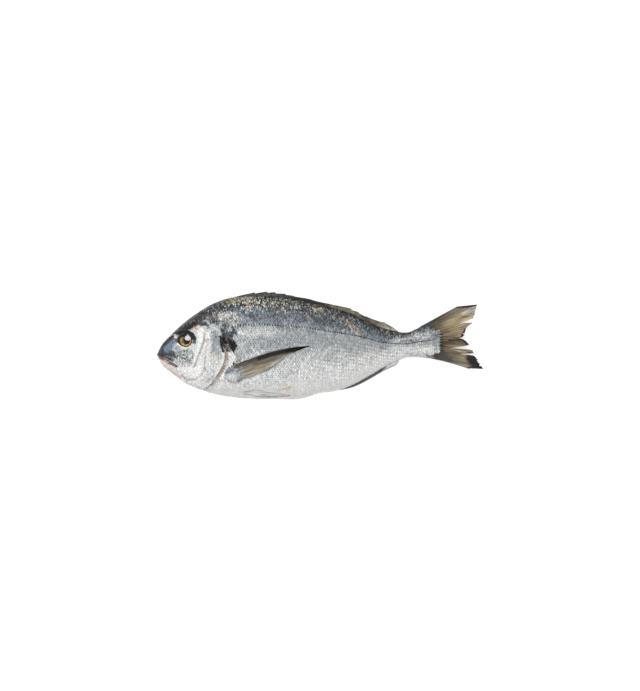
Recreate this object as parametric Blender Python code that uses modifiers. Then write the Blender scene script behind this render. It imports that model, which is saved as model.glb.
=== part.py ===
# A whole sea bream lying on its right side: snout towards -X, back towards +Y, left flank up.
# The body is one loft of rings around X. Fins, eyes and the mouth slit are joined or cut,
# so the fish is one solid. All profile numbers are millimetres in the fish's own frame:
# x from the snout, y up the back from the level of the jaw joint, z above the table.

import math

import bmesh
import bpy
from mathutils import Vector

MM = 0.001

# Body: x, y of the back, y of the belly, half the thickness
BODY_STATIONS = [
    (0.0, -5.5, -12.5, 3.0),
    (4.0, 0.3, -18.0, 6.4),
    (12.0, 9.0, -24.5, 9.8),
    (25.0, 20.9, -34.5, 14.2),
    (42.0, 32.9, -41.8, 18.2),
    (52.0, 38.3, -44.4, 19.7),
    (62.0, 42.0, -46.3, 20.8),
    (72.0, 44.2, -47.7, 21.6),
    (85.0, 45.3, -48.8, 22.2),
    (112.0, 44.2, -49.3, 22.0),
    (134.0, 40.8, -48.7, 20.2),
    (149.0, 37.5, -44.0, 18.0),
    (165.0, 33.2, -41.8, 15.4),
    (180.0, 28.4, -36.6, 12.8),
    (197.0, 19.8, -27.4, 9.8),
    (214.0, 14.0, -17.8, 7.0),
    (232.0, 11.8, -10.8, 5.0),
    (246.0, 17.6, -11.0, 3.6),
    (262.0, 16.0, -9.0, 2.0),
]
BODY_LENGTH = BODY_STATIONS[-1][0]
NOSE_ROUNDING = 5.0
TAIL_ROUNDING = 12.0

# Height of the middle plane over the table: the tail and the snout droop a little
SPINE_STATIONS = [
    (0.0, 17.0), (60.0, 19.6), (110.0, 19.6), (150.0, 18.6),
    (200.0, 14.4), (240.0, 9.8), (270.0, 6.6), (302.0, 4.2),
]

# Rear edge of the gill cover: y, x
GILL_STATIONS = [
    (-46.0, 36.0), (-41.0, 42.0), (-36.7, 48.4), (-32.0, 52.0), (-26.0, 56.3),
    (-15.0, 62.0), (-8.4, 62.8), (-1.0, 60.6), (6.5, 59.4), (20.0, 58.0), (46.0, 56.0),
]
GILL_TOP_Y = 8.0
GILL_STEP = 1.3
GILL_STEP_RUN = 0.9
GILL_FADE = 16.0

WIDEST_SHARE = 0.54
BACK_POINTEDNESS = 1.3
FLESH_SOFTNESS = 1.0

# Rings and segments of the loft
HEAD_RINGS = 17
TRUNK_RINGS = 27
SEGMENTS = 36
GILL_RING = HEAD_RINGS / (HEAD_RINGS + TRUNK_RINGS)

EYE = {"x": 26.3, "y": 3.8, "radius": 8.5, "sunk": 6.2, "segments": 18, "rings": 12}

# Mouth slit: the cleft runs from the snout down and back
MOUTH = {"tip": (-3.0, -9.4), "corner": (17.0, -20.0), "height": 1.0, "width": 60.0}

FIN_THICKNESS = 1.3

# Folded dorsal fin: x, crest y. Its foot is sunk in the back.
DORSAL_START, DORSAL_END = 72.0, 223.0
DORSAL_SPINES = 11
DORSAL_SPINES_END = 160.0
DORSAL_HEIGHT = [
    (72.0, 0.4), (84.0, 2.2), (100.0, 3.6), (112.0, 4.0), (128.0, 2.5), (145.0, 2.3),
    (160.0, 3.2), (180.0, 4.6), (200.0, 4.8), (214.0, 5.4), (223.0, 0.7),
]
DORSAL_TOOTH = 1.1

ANAL_START, ANAL_END = 168.0, 223.0
ANAL_HEIGHT = [(168.0, 0.4), (180.0, 2.4), (192.0, 3.4), (206.0, 3.5), (216.0, 4.0), (221.0, 3.7), (223.0, 2.0)]

# Caudal fin: y at the root and the tip of its rays from the top edge to the bottom edge
CAUDAL_ROOT_X = 243.0
CAUDAL_RAYS = [
    # share across the fin, root y, tip x, tip y
    (0.00, 17.2, 277.0, 35.8),
    (0.06, 16.2, 295.8, 37.6),
    (0.16, 13.0, 295.4, 32.0),
    (0.24, 10.4, 291.8, 24.8),
    (0.28, 9.2, 278.5, 19.8),
    (0.32, 8.0, 291.6, 21.1),
    (0.36, 7.0, 285.0, 15.2),
    (0.44, 4.8, 283.4, 7.8),
    (0.47, 4.0, 279.0, 6.6),
    (0.50, 3.2, 283.0, 5.6),
    (0.58, 1.0, 289.0, 0.0),
    (0.61, 0.2, 268.0, -3.0),
    (0.65, -1.0, 290.8, -4.1),
    (0.70, -2.4, 293.6, -7.6),
    (0.73, -3.2, 280.0, -8.1),
    (0.77, -4.2, 294.1, -9.8),
    (0.86, -6.6, 297.2, -16.4),
    (0.94, -9.0, 300.9, -21.8),
    (1.00, -10.6, 287.0, -21.6),
]
CAUDAL_COLUMNS, CAUDAL_ROWS = 60, 5

# Pectoral fin, folded back on the flank: x, y along its upper and its lower edge
PECTORAL_UPPER = [(72.0, -18.0), (87.0, -12.6), (108.0, -6.1), (126.0, -2.8), (140.5, -0.7)]
PECTORAL_LOWER = [(72.0, -31.0), (82.0, -31.0), (101.0, -23.3), (119.0, -10.4), (140.5, -1.1)]
PECTORAL_COLUMNS, PECTORAL_ROWS = 14, 5
PECTORAL_LIFT = 0.5

# Pelvic fins, folded back along the belly: x, y along the upper and the lower edge
PELVIC_UPPER = [(80.0, -40.0), (92.0, -41.0), (108.0, -43.5), (124.0, -46.0)]
PELVIC_LOWER = [(80.0, -46.6), (92.0, -47.4), (108.0, -47.8), (124.0, -46.6)]
PELVIC_COLUMNS, PELVIC_ROWS = 8, 3


def clear_scene():
    for obj in list(bpy.data.objects):
        bpy.data.objects.remove(obj)


def curve_value(stations, x, column=1):
    """A smooth curve through the stations, read at x."""
    xs = [station[0] for station in stations]
    ys = [station[column] for station in stations]
    if x <= xs[0]:
        return ys[0]
    if x >= xs[-1]:
        return ys[-1]
    slopes = [(ys[i + 1] - ys[i]) / (xs[i + 1] - xs[i]) for i in range(len(xs) - 1)]

    def slope_at(i):
        if i == 0:
            return slopes[0]
        if i == len(xs) - 1:
            return slopes[-1]
        run_before, run_after = xs[i] - xs[i - 1], xs[i + 1] - xs[i]
        return (slopes[i - 1] * run_after + slopes[i] * run_before) / (run_before + run_after)

    i = max(k for k in range(len(xs) - 1) if xs[k] <= x)
    step = xs[i + 1] - xs[i]
    t = (x - xs[i]) / step
    return (
        ys[i] * (1 + 2 * t) * (1 - t) ** 2
        + step * slope_at(i) * t * (1 - t) ** 2
        + ys[i + 1] * t * t * (3 - 2 * t)
        + step * slope_at(i + 1) * t * t * (t - 1)
    )


def smooth_step(low, high, value):
    t = min(1.0, max(0.0, (value - low) / (high - low)))
    return t * t * (3 - 2 * t)


def spine_height(x):
    return curve_value(SPINE_STATIONS, x)


def end_rounding(x):
    """Closes the loft with a round nose and a round tail root."""
    if x < NOSE_ROUNDING:
        return math.sqrt(max(0.0, 1 - (1 - x / NOSE_ROUNDING) ** 2))
    if x > BODY_LENGTH - TAIL_ROUNDING:
        left = (BODY_LENGTH - x) / TAIL_ROUNDING
        return math.sqrt(max(0.0, 1 - (1 - left) ** 2))
    return 1.0


def section(x):
    """The section at x: y of the back, of the belly and of the widest level, and half the thickness."""
    back = curve_value(BODY_STATIONS, x, 1)
    belly = curve_value(BODY_STATIONS, x, 2)
    half = curve_value(BODY_STATIONS, x, 3)
    rounding = end_rounding(x)
    widest = belly + WIDEST_SHARE * (back - belly)
    return (
        widest + (back - widest) * rounding,
        widest + (belly - widest) * rounding,
        widest,
        half * rounding,
    )


def pointedness(x, above):
    """1 for an elliptic section. The ridge of the back is sharper behind the head."""
    if not above:
        return 1.0
    return 1.0 + (BACK_POINTEDNESS - 1.0) * smooth_step(20.0, 70.0, x)


def gill_edge(y):
    return curve_value(GILL_STATIONS, y)


def gill_drop(x, y):
    """How far the flank lies below the gill cover: a sharp step that fades out behind."""
    behind = x - gill_edge(y)
    if behind <= 0.0:
        return 0.0
    step = smooth_step(0.0, GILL_STEP_RUN, behind)
    fade = 1.0 - smooth_step(GILL_STEP_RUN, GILL_FADE, behind)
    below_top = 1.0 - smooth_step(GILL_TOP_Y - 6.0, GILL_TOP_Y, y)
    above_throat = smooth_step(-46.0, -38.0, y)
    return GILL_STEP * step * fade * below_top * above_throat


def settled(z):
    """Soft flesh flattens on the table: 0 below it, with a smooth turn."""
    if z >= FLESH_SOFTNESS:
        return z
    if z <= -FLESH_SOFTNESS:
        return 0.0
    return (z + FLESH_SOFTNESS) ** 2 / (4 * FLESH_SOFTNESS)


def skin_point(x, angle):
    """A point of the skin: angle 0 on the back, a quarter turn on the left flank."""
    back, belly, widest, half = section(x)
    cosine, sine = math.cos(angle), math.sin(angle)
    above = cosine > 0.0
    y = widest + (back - widest if above else widest - belly) * cosine
    bulge = half * abs(sine) ** pointedness(x, above)
    bulge -= gill_drop(x, y) * min(1.0, bulge / 6.0)
    z = spine_height(x) + math.copysign(max(bulge, 0.0), sine)
    return Vector((x, y, settled(z)))


def flank_height(x, y, side):
    """Height of the skin over the table at a point of the side view; side is 1 for the left flank."""
    back, belly, widest, half = section(x)
    above = y > widest
    reach = (back - widest) if above else (widest - belly)
    share = min(0.999, abs(y - widest) / reach)
    bulge = half * (1 - share * share) ** (0.5 * pointedness(x, above))
    bulge -= gill_drop(x, y) * min(1.0, bulge / 6.0)
    return settled(spine_height(x) + side * bulge)


def ring_x(t, angle):
    """x of a loft ring. One ring runs exactly along the gill cover's rear edge."""
    edge = 60.0
    for _ in range(12):
        edge = gill_edge(skin_point(edge, angle).y)
    if t <= GILL_RING:
        return edge * (t / GILL_RING) ** 1.15
    if t <= GILL_RING + 1.0 / (HEAD_RINGS + TRUNK_RINGS):
        share = (t - GILL_RING) * (HEAD_RINGS + TRUNK_RINGS)
        return edge + GILL_STEP_RUN * share
    start = edge + GILL_STEP_RUN
    first = GILL_RING + 1.0 / (HEAD_RINGS + TRUNK_RINGS)
    return start + (BODY_LENGTH - start) * (t - first) / (1.0 - first)


def mesh_object(name, mesh_builder, collection):
    mesh = bpy.data.meshes.new(name)
    cage = bmesh.new()
    mesh_builder(cage)
    bmesh.ops.recalc_face_normals(cage, faces=cage.faces)
    for vertex in cage.verts:
        vertex.co *= MM
    cage.to_mesh(mesh)
    cage.free()
    obj = bpy.data.objects.new(name, mesh)
    collection.objects.link(obj)
    return obj


def shape_body(cage):
    rings = HEAD_RINGS + TRUNK_RINGS
    bmesh.ops.create_uvsphere(cage, u_segments=SEGMENTS, v_segments=rings, radius=1.0)
    for vertex in cage.verts:
        t = math.acos(max(-1.0, min(1.0, vertex.co.z))) / math.pi
        angle = math.atan2(vertex.co.y, vertex.co.x)
        vertex.co = skin_point(ring_x(t, angle), angle)


def shape_eye(cage, side):
    bmesh.ops.create_uvsphere(
        cage, u_segments=EYE["segments"], v_segments=EYE["rings"], radius=EYE["radius"]
    )
    surface = flank_height(EYE["x"], EYE["y"], side)
    centre = Vector((EYE["x"], EYE["y"], surface - side * EYE["sunk"]))
    bmesh.ops.translate(cage, vec=centre, verts=cage.verts)


def shape_mouth(cage):
    """The cutter of the mouth slit: a thin wedge right across the snout."""
    tip, corner = Vector(MOUTH["tip"]), Vector(MOUTH["corner"])
    bmesh.ops.create_cube(cage, size=1.0)
    along = corner - tip
    for vertex in cage.verts:
        u, v, w = vertex.co.x + 0.5, vertex.co.y, vertex.co.z
        taper = 1.0 - 0.85 * u
        place = tip + along * u
        z = spine_height(place.x) + w * MOUTH["width"]
        vertex.co = Vector((place.x, place.y + v * MOUTH["height"] * taper, z))


def shape_sheet(cage, columns, rows, place):
    """A grid bent to place(u, v), with u along the fin's foot and v from its foot to its edge."""
    bmesh.ops.create_grid(cage, x_segments=columns, y_segments=rows, size=0.5)
    for vertex in cage.verts:
        vertex.co = place(vertex.co.x + 0.5, vertex.co.y + 0.5)


def dorsal_point(u, v):
    x = DORSAL_START + (DORSAL_END - DORSAL_START) * u
    back = curve_value(BODY_STATIONS, x, 1)
    height = curve_value(DORSAL_HEIGHT, x)
    if x < DORSAL_SPINES_END:
        pitch = (DORSAL_SPINES_END - DORSAL_START) / DORSAL_SPINES
        height += DORSAL_TOOTH * (((x - DORSAL_START) / pitch) % 1.0 - 0.5)
    foot = -3.0
    return Vector((x, back + foot + (max(height, 0.5) - foot) * v, spine_height(x)))


def anal_point(u, v):
    x = ANAL_START + (ANAL_END - ANAL_START) * u
    belly = curve_value(BODY_STATIONS, x, 2)
    foot = 2.5
    return Vector((x, belly + foot - (curve_value(ANAL_HEIGHT, x) + foot) * v, spine_height(x)))


def between(rays, share, column):
    """A straight line through the rays' values, so that the tears keep their sharp ends."""
    for before, after in zip(rays, rays[1:]):
        if share <= after[0]:
            t = (share - before[0]) / (after[0] - before[0])
            return before[column] + (after[column] - before[column]) * t
    return rays[-1][column]


def caudal_point(u, v):
    root = Vector((CAUDAL_ROOT_X, between(CAUDAL_RAYS, u, 1)))
    tip = Vector((between(CAUDAL_RAYS, u, 2), between(CAUDAL_RAYS, u, 3)))
    place = root.lerp(tip, v)
    return Vector((place.x, place.y, spine_height(place.x)))


def folded_point(upper, lower, side, lift):
    """A fin that lies on the flank between an upper and a lower edge."""

    def edge(points, u):
        x = points[0][0] + (points[-1][0] - points[0][0]) * u
        return Vector((x, curve_value(points, x)))

    def place(u, v):
        spot = edge(upper, u).lerp(edge(lower, u), v)
        z = flank_height(spot.x, spot.y, side) + side * lift
        return Vector((spot.x, spot.y, max(z, FIN_THICKNESS * 0.5 + 0.3)))

    return place


def fin(name, columns, rows, place, collection):
    obj = mesh_object(name, lambda cage: shape_sheet(cage, columns, rows, place), collection)
    solid = obj.modifiers.new("thickness", "SOLIDIFY")
    solid.thickness = FIN_THICKNESS * MM
    solid.offset = 0.0
    return obj


def build_helpers(collection):
    """Everything that is joined to the body, and the cutter of the mouth."""
    joined = [
        fin("dorsal_fin", 66, 2, dorsal_point, collection),
        fin("anal_fin", 20, 2, anal_point, collection),
        fin("caudal_fin", CAUDAL_COLUMNS, CAUDAL_ROWS, caudal_point, collection),
    ]
    for word, side in (("left", 1), ("right", -1)):
        pectoral = folded_point(PECTORAL_UPPER, PECTORAL_LOWER, side, PECTORAL_LIFT)
        pelvic = folded_point(PELVIC_UPPER, PELVIC_LOWER, side, PECTORAL_LIFT)
        joined += [
            fin(f"pectoral_fin_{word}", PECTORAL_COLUMNS, PECTORAL_ROWS, pectoral, collection),
            fin(f"pelvic_fin_{word}", PELVIC_COLUMNS, PELVIC_ROWS, pelvic, collection),
            mesh_object(f"eye_{word}", lambda cage, s=side: shape_eye(cage, s), collection),
        ]
    mouth = mesh_object("mouth_slit", shape_mouth, collection)
    for obj in joined + [mouth]:
        obj.hide_render = True
        obj.display_type = "WIRE"
    return joined, mouth


def skin_material():
    material = bpy.data.materials.new("silver_skin")
    material.use_nodes = True
    shader = material.node_tree.nodes["Principled BSDF"]
    shader.inputs["Base Color"].default_value = (0.46, 0.49, 0.52, 1.0)
    shader.inputs["Metallic"].default_value = 0.35
    shader.inputs["Roughness"].default_value = 0.38
    return material


def centre_on_table(root, obj):
    """Puts the middle of the finished box over the origin, with the table at z 0."""
    bpy.context.view_layer.update()
    evaluated = obj.evaluated_get(bpy.context.evaluated_depsgraph_get())
    points = [evaluated.matrix_world @ vertex.co for vertex in evaluated.data.vertices]
    lows = [min(point[axis] for point in points) for axis in range(3)]
    highs = [max(point[axis] for point in points) for axis in range(3)]
    root.location = (-(lows[0] + highs[0]) / 2, -(lows[1] + highs[1]) / 2, -lows[2])
    bpy.context.view_layer.update()


def main():
    clear_scene()
    scene = bpy.context.scene
    fish = bpy.data.collections.new("sea_bream_parts")
    helpers = bpy.data.collections.new("joined_shapes")
    scene.collection.children.link(fish)
    scene.collection.children.link(helpers)

    root = bpy.data.objects.new("fish_origin", None)
    fish.objects.link(root)
    body = mesh_object("sea_bream", shape_body, fish)
    body.data.materials.append(skin_material())
    body.parent = root
    joined, mouth = build_helpers(helpers)
    for obj in joined:
        obj.parent = root
        union = body.modifiers.new("join_" + obj.name, "BOOLEAN")
        union.operation = "UNION"
        union.object = obj
    mouth.parent = root
    cut = body.modifiers.new("cut_mouth", "BOOLEAN")
    cut.operation = "DIFFERENCE"
    cut.object = mouth

    body.data.shade_smooth()
    body.data.set_sharp_from_angle(angle=math.radians(35))
    centre_on_table(root, body)


main()
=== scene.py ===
# A whole raw sea bream on a pale table, seen from straight above. For Blender 4.5.
# Shapes are worked out in millimetres in the fish's own frame: x from the snout, y up the back,
# z above the table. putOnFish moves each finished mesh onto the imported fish.

import math

import bpy
import numpy as np
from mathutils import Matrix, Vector, noise


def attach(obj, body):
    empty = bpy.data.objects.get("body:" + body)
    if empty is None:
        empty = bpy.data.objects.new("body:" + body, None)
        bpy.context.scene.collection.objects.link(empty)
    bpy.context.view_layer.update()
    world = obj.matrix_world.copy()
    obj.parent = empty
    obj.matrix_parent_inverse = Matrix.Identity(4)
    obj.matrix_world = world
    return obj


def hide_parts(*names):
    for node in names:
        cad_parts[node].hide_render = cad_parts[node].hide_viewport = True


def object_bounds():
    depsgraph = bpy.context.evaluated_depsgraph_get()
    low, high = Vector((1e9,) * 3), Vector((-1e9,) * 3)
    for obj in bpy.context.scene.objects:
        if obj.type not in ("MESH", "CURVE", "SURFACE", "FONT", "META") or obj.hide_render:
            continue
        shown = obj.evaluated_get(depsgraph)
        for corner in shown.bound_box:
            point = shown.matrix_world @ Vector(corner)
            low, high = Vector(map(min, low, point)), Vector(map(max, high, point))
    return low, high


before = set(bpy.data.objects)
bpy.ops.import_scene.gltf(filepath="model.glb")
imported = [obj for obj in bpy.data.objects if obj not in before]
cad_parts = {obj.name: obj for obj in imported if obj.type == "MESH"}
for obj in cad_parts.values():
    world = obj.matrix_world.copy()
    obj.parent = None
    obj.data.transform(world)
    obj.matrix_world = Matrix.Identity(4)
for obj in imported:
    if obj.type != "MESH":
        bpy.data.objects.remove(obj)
cadLow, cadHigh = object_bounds()
fishNode = "sea_bream"
body = "root"
dice = np.random.default_rng(41)
mm = 0.001

bodyShape = {
    # x, y of the back, y of the belly, half the thickness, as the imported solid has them
    "stations": [
        (0.0, -5.5, -12.5, 3.0), (4.0, 0.3, -18.0, 6.4), (12.0, 9.0, -24.5, 9.8),
        (25.0, 20.9, -34.5, 14.2), (42.0, 32.9, -41.8, 18.2), (52.0, 38.3, -44.4, 19.7),
        (62.0, 42.0, -46.3, 20.8), (72.0, 44.2, -47.7, 21.6), (85.0, 45.3, -48.8, 22.2),
        (112.0, 44.2, -49.3, 22.0), (134.0, 40.8, -48.7, 20.2), (149.0, 37.5, -44.0, 18.0),
        (165.0, 33.2, -41.8, 15.4), (180.0, 28.4, -36.6, 12.8),
        (197.0, 19.8, -27.4, 9.8), (214.0, 14.0, -17.8, 7.0), (232.0, 11.8, -10.8, 5.0),
        (246.0, 17.6, -11.0, 3.6), (262.0, 16.0, -9.0, 2.0),
    ],
    "spine": [
        (0.0, 17.0), (60.0, 19.6), (110.0, 19.6), (150.0, 18.6),
        (200.0, 14.4), (240.0, 9.8), (270.0, 6.6), (302.0, 4.2),
    ],
    "gillEdge": [
        (-46.0, 36.0), (-41.0, 42.0), (-36.7, 48.4), (-32.0, 52.0), (-26.0, 56.3),
        (-15.0, 62.0), (-8.4, 62.8), (-1.0, 60.6), (6.5, 59.4), (20.0, 58.0), (46.0, 56.0),
    ],
    "lateralLine": [
        (60.0, 14.0), (67.0, 15.8), (81.0, 18.3), (96.0, 19.0), (112.0, 17.9), (133.0, 16.5),
        (164.0, 11.8), (175.0, 10.2), (195.0, 6.0), (204.0, 3.3), (216.0, 1.7), (229.0, 1.3),
        (241.0, 3.0), (258.0, 5.4),
    ],
    "length": 262.0, "noseRounding": 5.0, "tailRounding": 12.0, "tailCorner": 1.6,
    "widestShare": 0.54, "backPoint": 1.3, "softness": 1.0,
    "gillTop": 8.0, "gillStep": 1.3, "gillRun": 0.9, "gillFade": 16.0,
}


def curveValue(stations, x, column=1):
    xs = np.array([station[0] for station in stations], float)
    ys = np.array([station[column] for station in stations], float)
    runs = np.diff(xs)
    slopes = np.diff(ys) / runs
    tangents = np.concatenate([
        slopes[:1],
        (slopes[:-1] * runs[1:] + slopes[1:] * runs[:-1]) / (runs[1:] + runs[:-1]),
        slopes[-1:],
    ])
    x = np.clip(np.asarray(x, float), xs[0], xs[-1])
    i = np.clip(np.searchsorted(xs, x, side="right") - 1, 0, len(xs) - 2)
    t = (x - xs[i]) / runs[i]
    return (
        ys[i] * (1 + 2 * t) * (1 - t) ** 2
        + runs[i] * tangents[i] * t * (1 - t) ** 2
        + ys[i + 1] * t * t * (3 - 2 * t)
        + runs[i] * tangents[i + 1] * t * t * (t - 1)
    )


def straightValue(points, x):
    return np.interp(x, [point[0] for point in points], [point[1] for point in points])


def smoothStep(low, high, value):
    t = np.clip((value - low) / (high - low), 0.0, 1.0)
    return t * t * (3 - 2 * t)


def spineHeight(x):
    return curveValue(bodyShape["spine"], x)


def section(x):
    stations = bodyShape["stations"]
    back, belly, half = (curveValue(stations, x, column) for column in (1, 2, 3))
    nose, tail = bodyShape["noseRounding"], bodyShape["tailRounding"]
    fromNose = np.clip(1 - x / nose, 0, 1)
    left = bodyShape["length"] - x
    thin = np.sqrt(np.clip(1 - np.maximum(fromNose, np.clip(1 - left / tail, 0, 1)) ** 2, 0, 1))
    # seen from the side the tail's end keeps its depth, because the fin grows on from it
    short = np.clip(1 - left / bodyShape["tailCorner"], 0, 1)
    low = np.sqrt(np.clip(1 - np.maximum(fromNose, short) ** 2, 0, 1))
    widest = belly + bodyShape["widestShare"] * (back - belly)
    return widest + (back - widest) * low, widest + (belly - widest) * low, widest, half * thin


def pointedness(x, above):
    return np.where(above, 1.0 + (bodyShape["backPoint"] - 1.0) * smoothStep(20.0, 70.0, x), 1.0)


def gillDrop(x, y):
    # how far the flank lies below the gill cover
    behind = x - curveValue(bodyShape["gillEdge"], y)
    step = smoothStep(0.0, bodyShape["gillRun"], behind)
    fade = 1.0 - smoothStep(bodyShape["gillRun"], bodyShape["gillFade"], behind)
    belowTop = 1.0 - smoothStep(bodyShape["gillTop"] - 6.0, bodyShape["gillTop"], y)
    return bodyShape["gillStep"] * step * fade * belowTop * smoothStep(-46.0, -38.0, y)


def settled(z):
    # soft flesh flattens on the table
    s = bodyShape["softness"]
    return np.where(z >= s, z, np.where(z <= -s, 0.0, (z + s) ** 2 / (4 * s)))


def skinPoint(x, angle, inset=0.0):
    # angle 0 on the back, a quarter turn on the left flank, which lies up
    back, belly, widest, half = section(x)
    cosine, sine = np.cos(angle), np.sin(angle)
    above = cosine > 0
    reach = np.where(above, back - widest, widest - belly) - inset
    y = widest + np.maximum(reach, 0.1) * cosine
    bulge = np.maximum(half - inset, 0.05) * np.abs(sine) ** pointedness(x, above)
    bulge = bulge - gillDrop(x, y) * np.minimum(1.0, bulge / 6.0)
    z = spineHeight(x) + np.sign(sine) * np.maximum(bulge, 0.0)
    return np.stack([x + 0 * y, y, settled(z)], -1)


def flankHeight(x, y, side):
    back, belly, widest, half = section(x)
    above = y > widest
    reach = np.where(above, back - widest, widest - belly)
    share = np.minimum(0.999, np.abs(y - widest) / np.maximum(reach, 0.01))
    bulge = half * (1 - share * share) ** (0.5 * pointedness(x, above))
    bulge = bulge - gillDrop(x, y) * np.minimum(1.0, bulge / 6.0)
    return settled(spineHeight(x) + side * bulge)


def skinNormal(x, angle, inset=0.0):
    dx, da = 0.4, 0.01
    along = skinPoint(x + dx, angle, inset) - skinPoint(x - dx, angle, inset)
    across = skinPoint(x, angle + da, inset) - skinPoint(x, angle - da, inset)
    n = np.cross(across, along)
    n /= np.maximum(np.linalg.norm(n, axis=-1, keepdims=True), 1e-9)
    zero = 0 * n[..., 0]
    centre = np.stack([x + zero, section(x)[2] + zero, spineHeight(x) + zero], -1)
    away = np.sum(n * (skinPoint(x, angle, inset) - centre), -1, keepdims=True)
    return n * np.where(away < 0, -1.0, 1.0)


def edgeX(angle):
    # x of the gill cover's rear edge along each line of the loft
    x = np.full_like(np.asarray(angle, float), 60.0)
    for _ in range(12):
        x = curveValue(bodyShape["gillEdge"], skinPoint(x, angle)[..., 1])
    return x


bellyDepth = -float(curveValue(bodyShape["stations"], np.linspace(0, 259, 2000), 2).min())
fishCorner = Vector((cadLow.x, cadLow.y + bellyDepth * mm, cadLow.z))


# Mesh helpers

def gridFaces(rows, columns, wrap=False, first=0):
    # quads of a grid whose points run row by row
    r = np.arange(rows - 1)[:, None]
    c = np.arange(columns if wrap else columns - 1)[None, :]
    nextC = (c + 1) % columns
    corners = [r * columns + c, r * columns + nextC, (r + 1) * columns + nextC, (r + 1) * columns + c]
    return (np.stack(corners, -1).reshape(-1, 4) + first).tolist()


def capFaces(rows, columns, firstPole, lastPole):
    # fans that close a wrapped grid at both ends
    faces = []
    last = (rows - 1) * columns
    for c in range(columns):
        after = (c + 1) % columns
        faces.append([after, c, firstPole])
        faces.append([last + c, last + after, lastPole])
    return faces


def tubeFaces(rows, columns, side=1):
    # a wrapped grid with a pole at each end; the poles are the last two points
    faces = gridFaces(rows, columns, wrap=True) + capFaces(rows, columns, rows * columns, rows * columns + 1)
    return faces if side > 0 else [face[::-1] for face in faces]


def unitGrid(columns, rows):
    return np.meshgrid(np.linspace(0, 1, columns), np.linspace(0, 1, rows), indexing="ij")


def putOnFish(name, points, faces, material, marks=None):
    mesh = bpy.data.meshes.new(name)
    onTable = np.asarray(points, float) * mm + np.array(fishCorner)
    mesh.from_pydata(onTable.tolist(), [], faces)
    for mark, values in (marks or {}).items():
        layer = mesh.attributes.new(mark, "FLOAT", "POINT")
        layer.data.foreach_set("value", np.asarray(values, np.float32).ravel())
    mesh.materials.append(material)
    mesh.shade_smooth()
    mesh.validate()
    piece = bpy.data.objects.new(name, mesh)
    bpy.context.scene.collection.objects.link(piece)
    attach(piece, body)
    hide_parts(fishNode)
    return piece


def closedSheet(name, middle, normal, half, material, marks=None):
    # a thin closed piece: the grid middle[rows, columns, 3], thickened both ways along normal
    rows, columns = middle.shape[:2]
    top = (middle + normal * half[..., None]).reshape(-1, 3)
    under = (middle - normal * half[..., None]).reshape(-1, 3)
    under[:, 2] = np.maximum(under[:, 2], 0.0)
    count = rows * columns
    faces = [face[::-1] for face in gridFaces(rows, columns)]
    faces += gridFaces(rows, columns, first=count)
    rim = [c for c in range(columns)] + [r * columns + columns - 1 for r in range(1, rows)]
    rim += [(rows - 1) * columns + c for c in range(columns - 2, -1, -1)]
    rim += [r * columns for r in range(rows - 2, 0, -1)]
    faces += [[a, b, b + count, a + count] for a, b in zip(rim, rim[1:] + rim[:1])]
    both = {mark: np.concatenate([np.ravel(v), np.ravel(v)]) for mark, v in (marks or {}).items()}
    return putOnFish(name, np.concatenate([top, under]), faces, material, both)


def grainAt(points, size, seed=0.0):
    return np.array([noise.noise(Vector((p[0] / size + seed, p[1] / size, p[2] / size))) for p in points])


def strokeDistance(x, y, line):
    best = np.full(x.shape, 1e9)
    line = line if len(line) > 1 else [line[0], line[0]]
    for (ax, ay), (bx, by) in zip(line, line[1:]):
        dx, dy = bx - ax, by - ay
        run = max(dx * dx + dy * dy, 1e-9)
        t = np.clip(((x - ax) * dx + (y - ay) * dy) / run, 0, 1)
        best = np.minimum(best, np.hypot(x - ax - t * dx, y - ay - t * dy))
    return best


def painted(x, y, strokes):
    # how strongly soft strokes cover each point, 0 to 1: a stroke is its line, radius, softness, strength
    cover = np.zeros(x.shape)
    for line, radius, soft, strength in strokes:
        away = strokeDistance(x, y, line)
        cover = np.maximum(cover, strength * (1.0 - smoothStep(radius - soft / 2, radius + soft / 2, away)))
    return cover


def reliefOf(x, y, folds):
    # folds and swellings: a fold is its line, width and height, and a groove's height is negative
    rise = np.zeros(x.shape)
    for line, width, height in folds:
        rise += height * np.exp(-((strokeDistance(x, y, line) / width) ** 2))
    return rise


# The marks painted on the skin, as strokes in the side view

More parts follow.
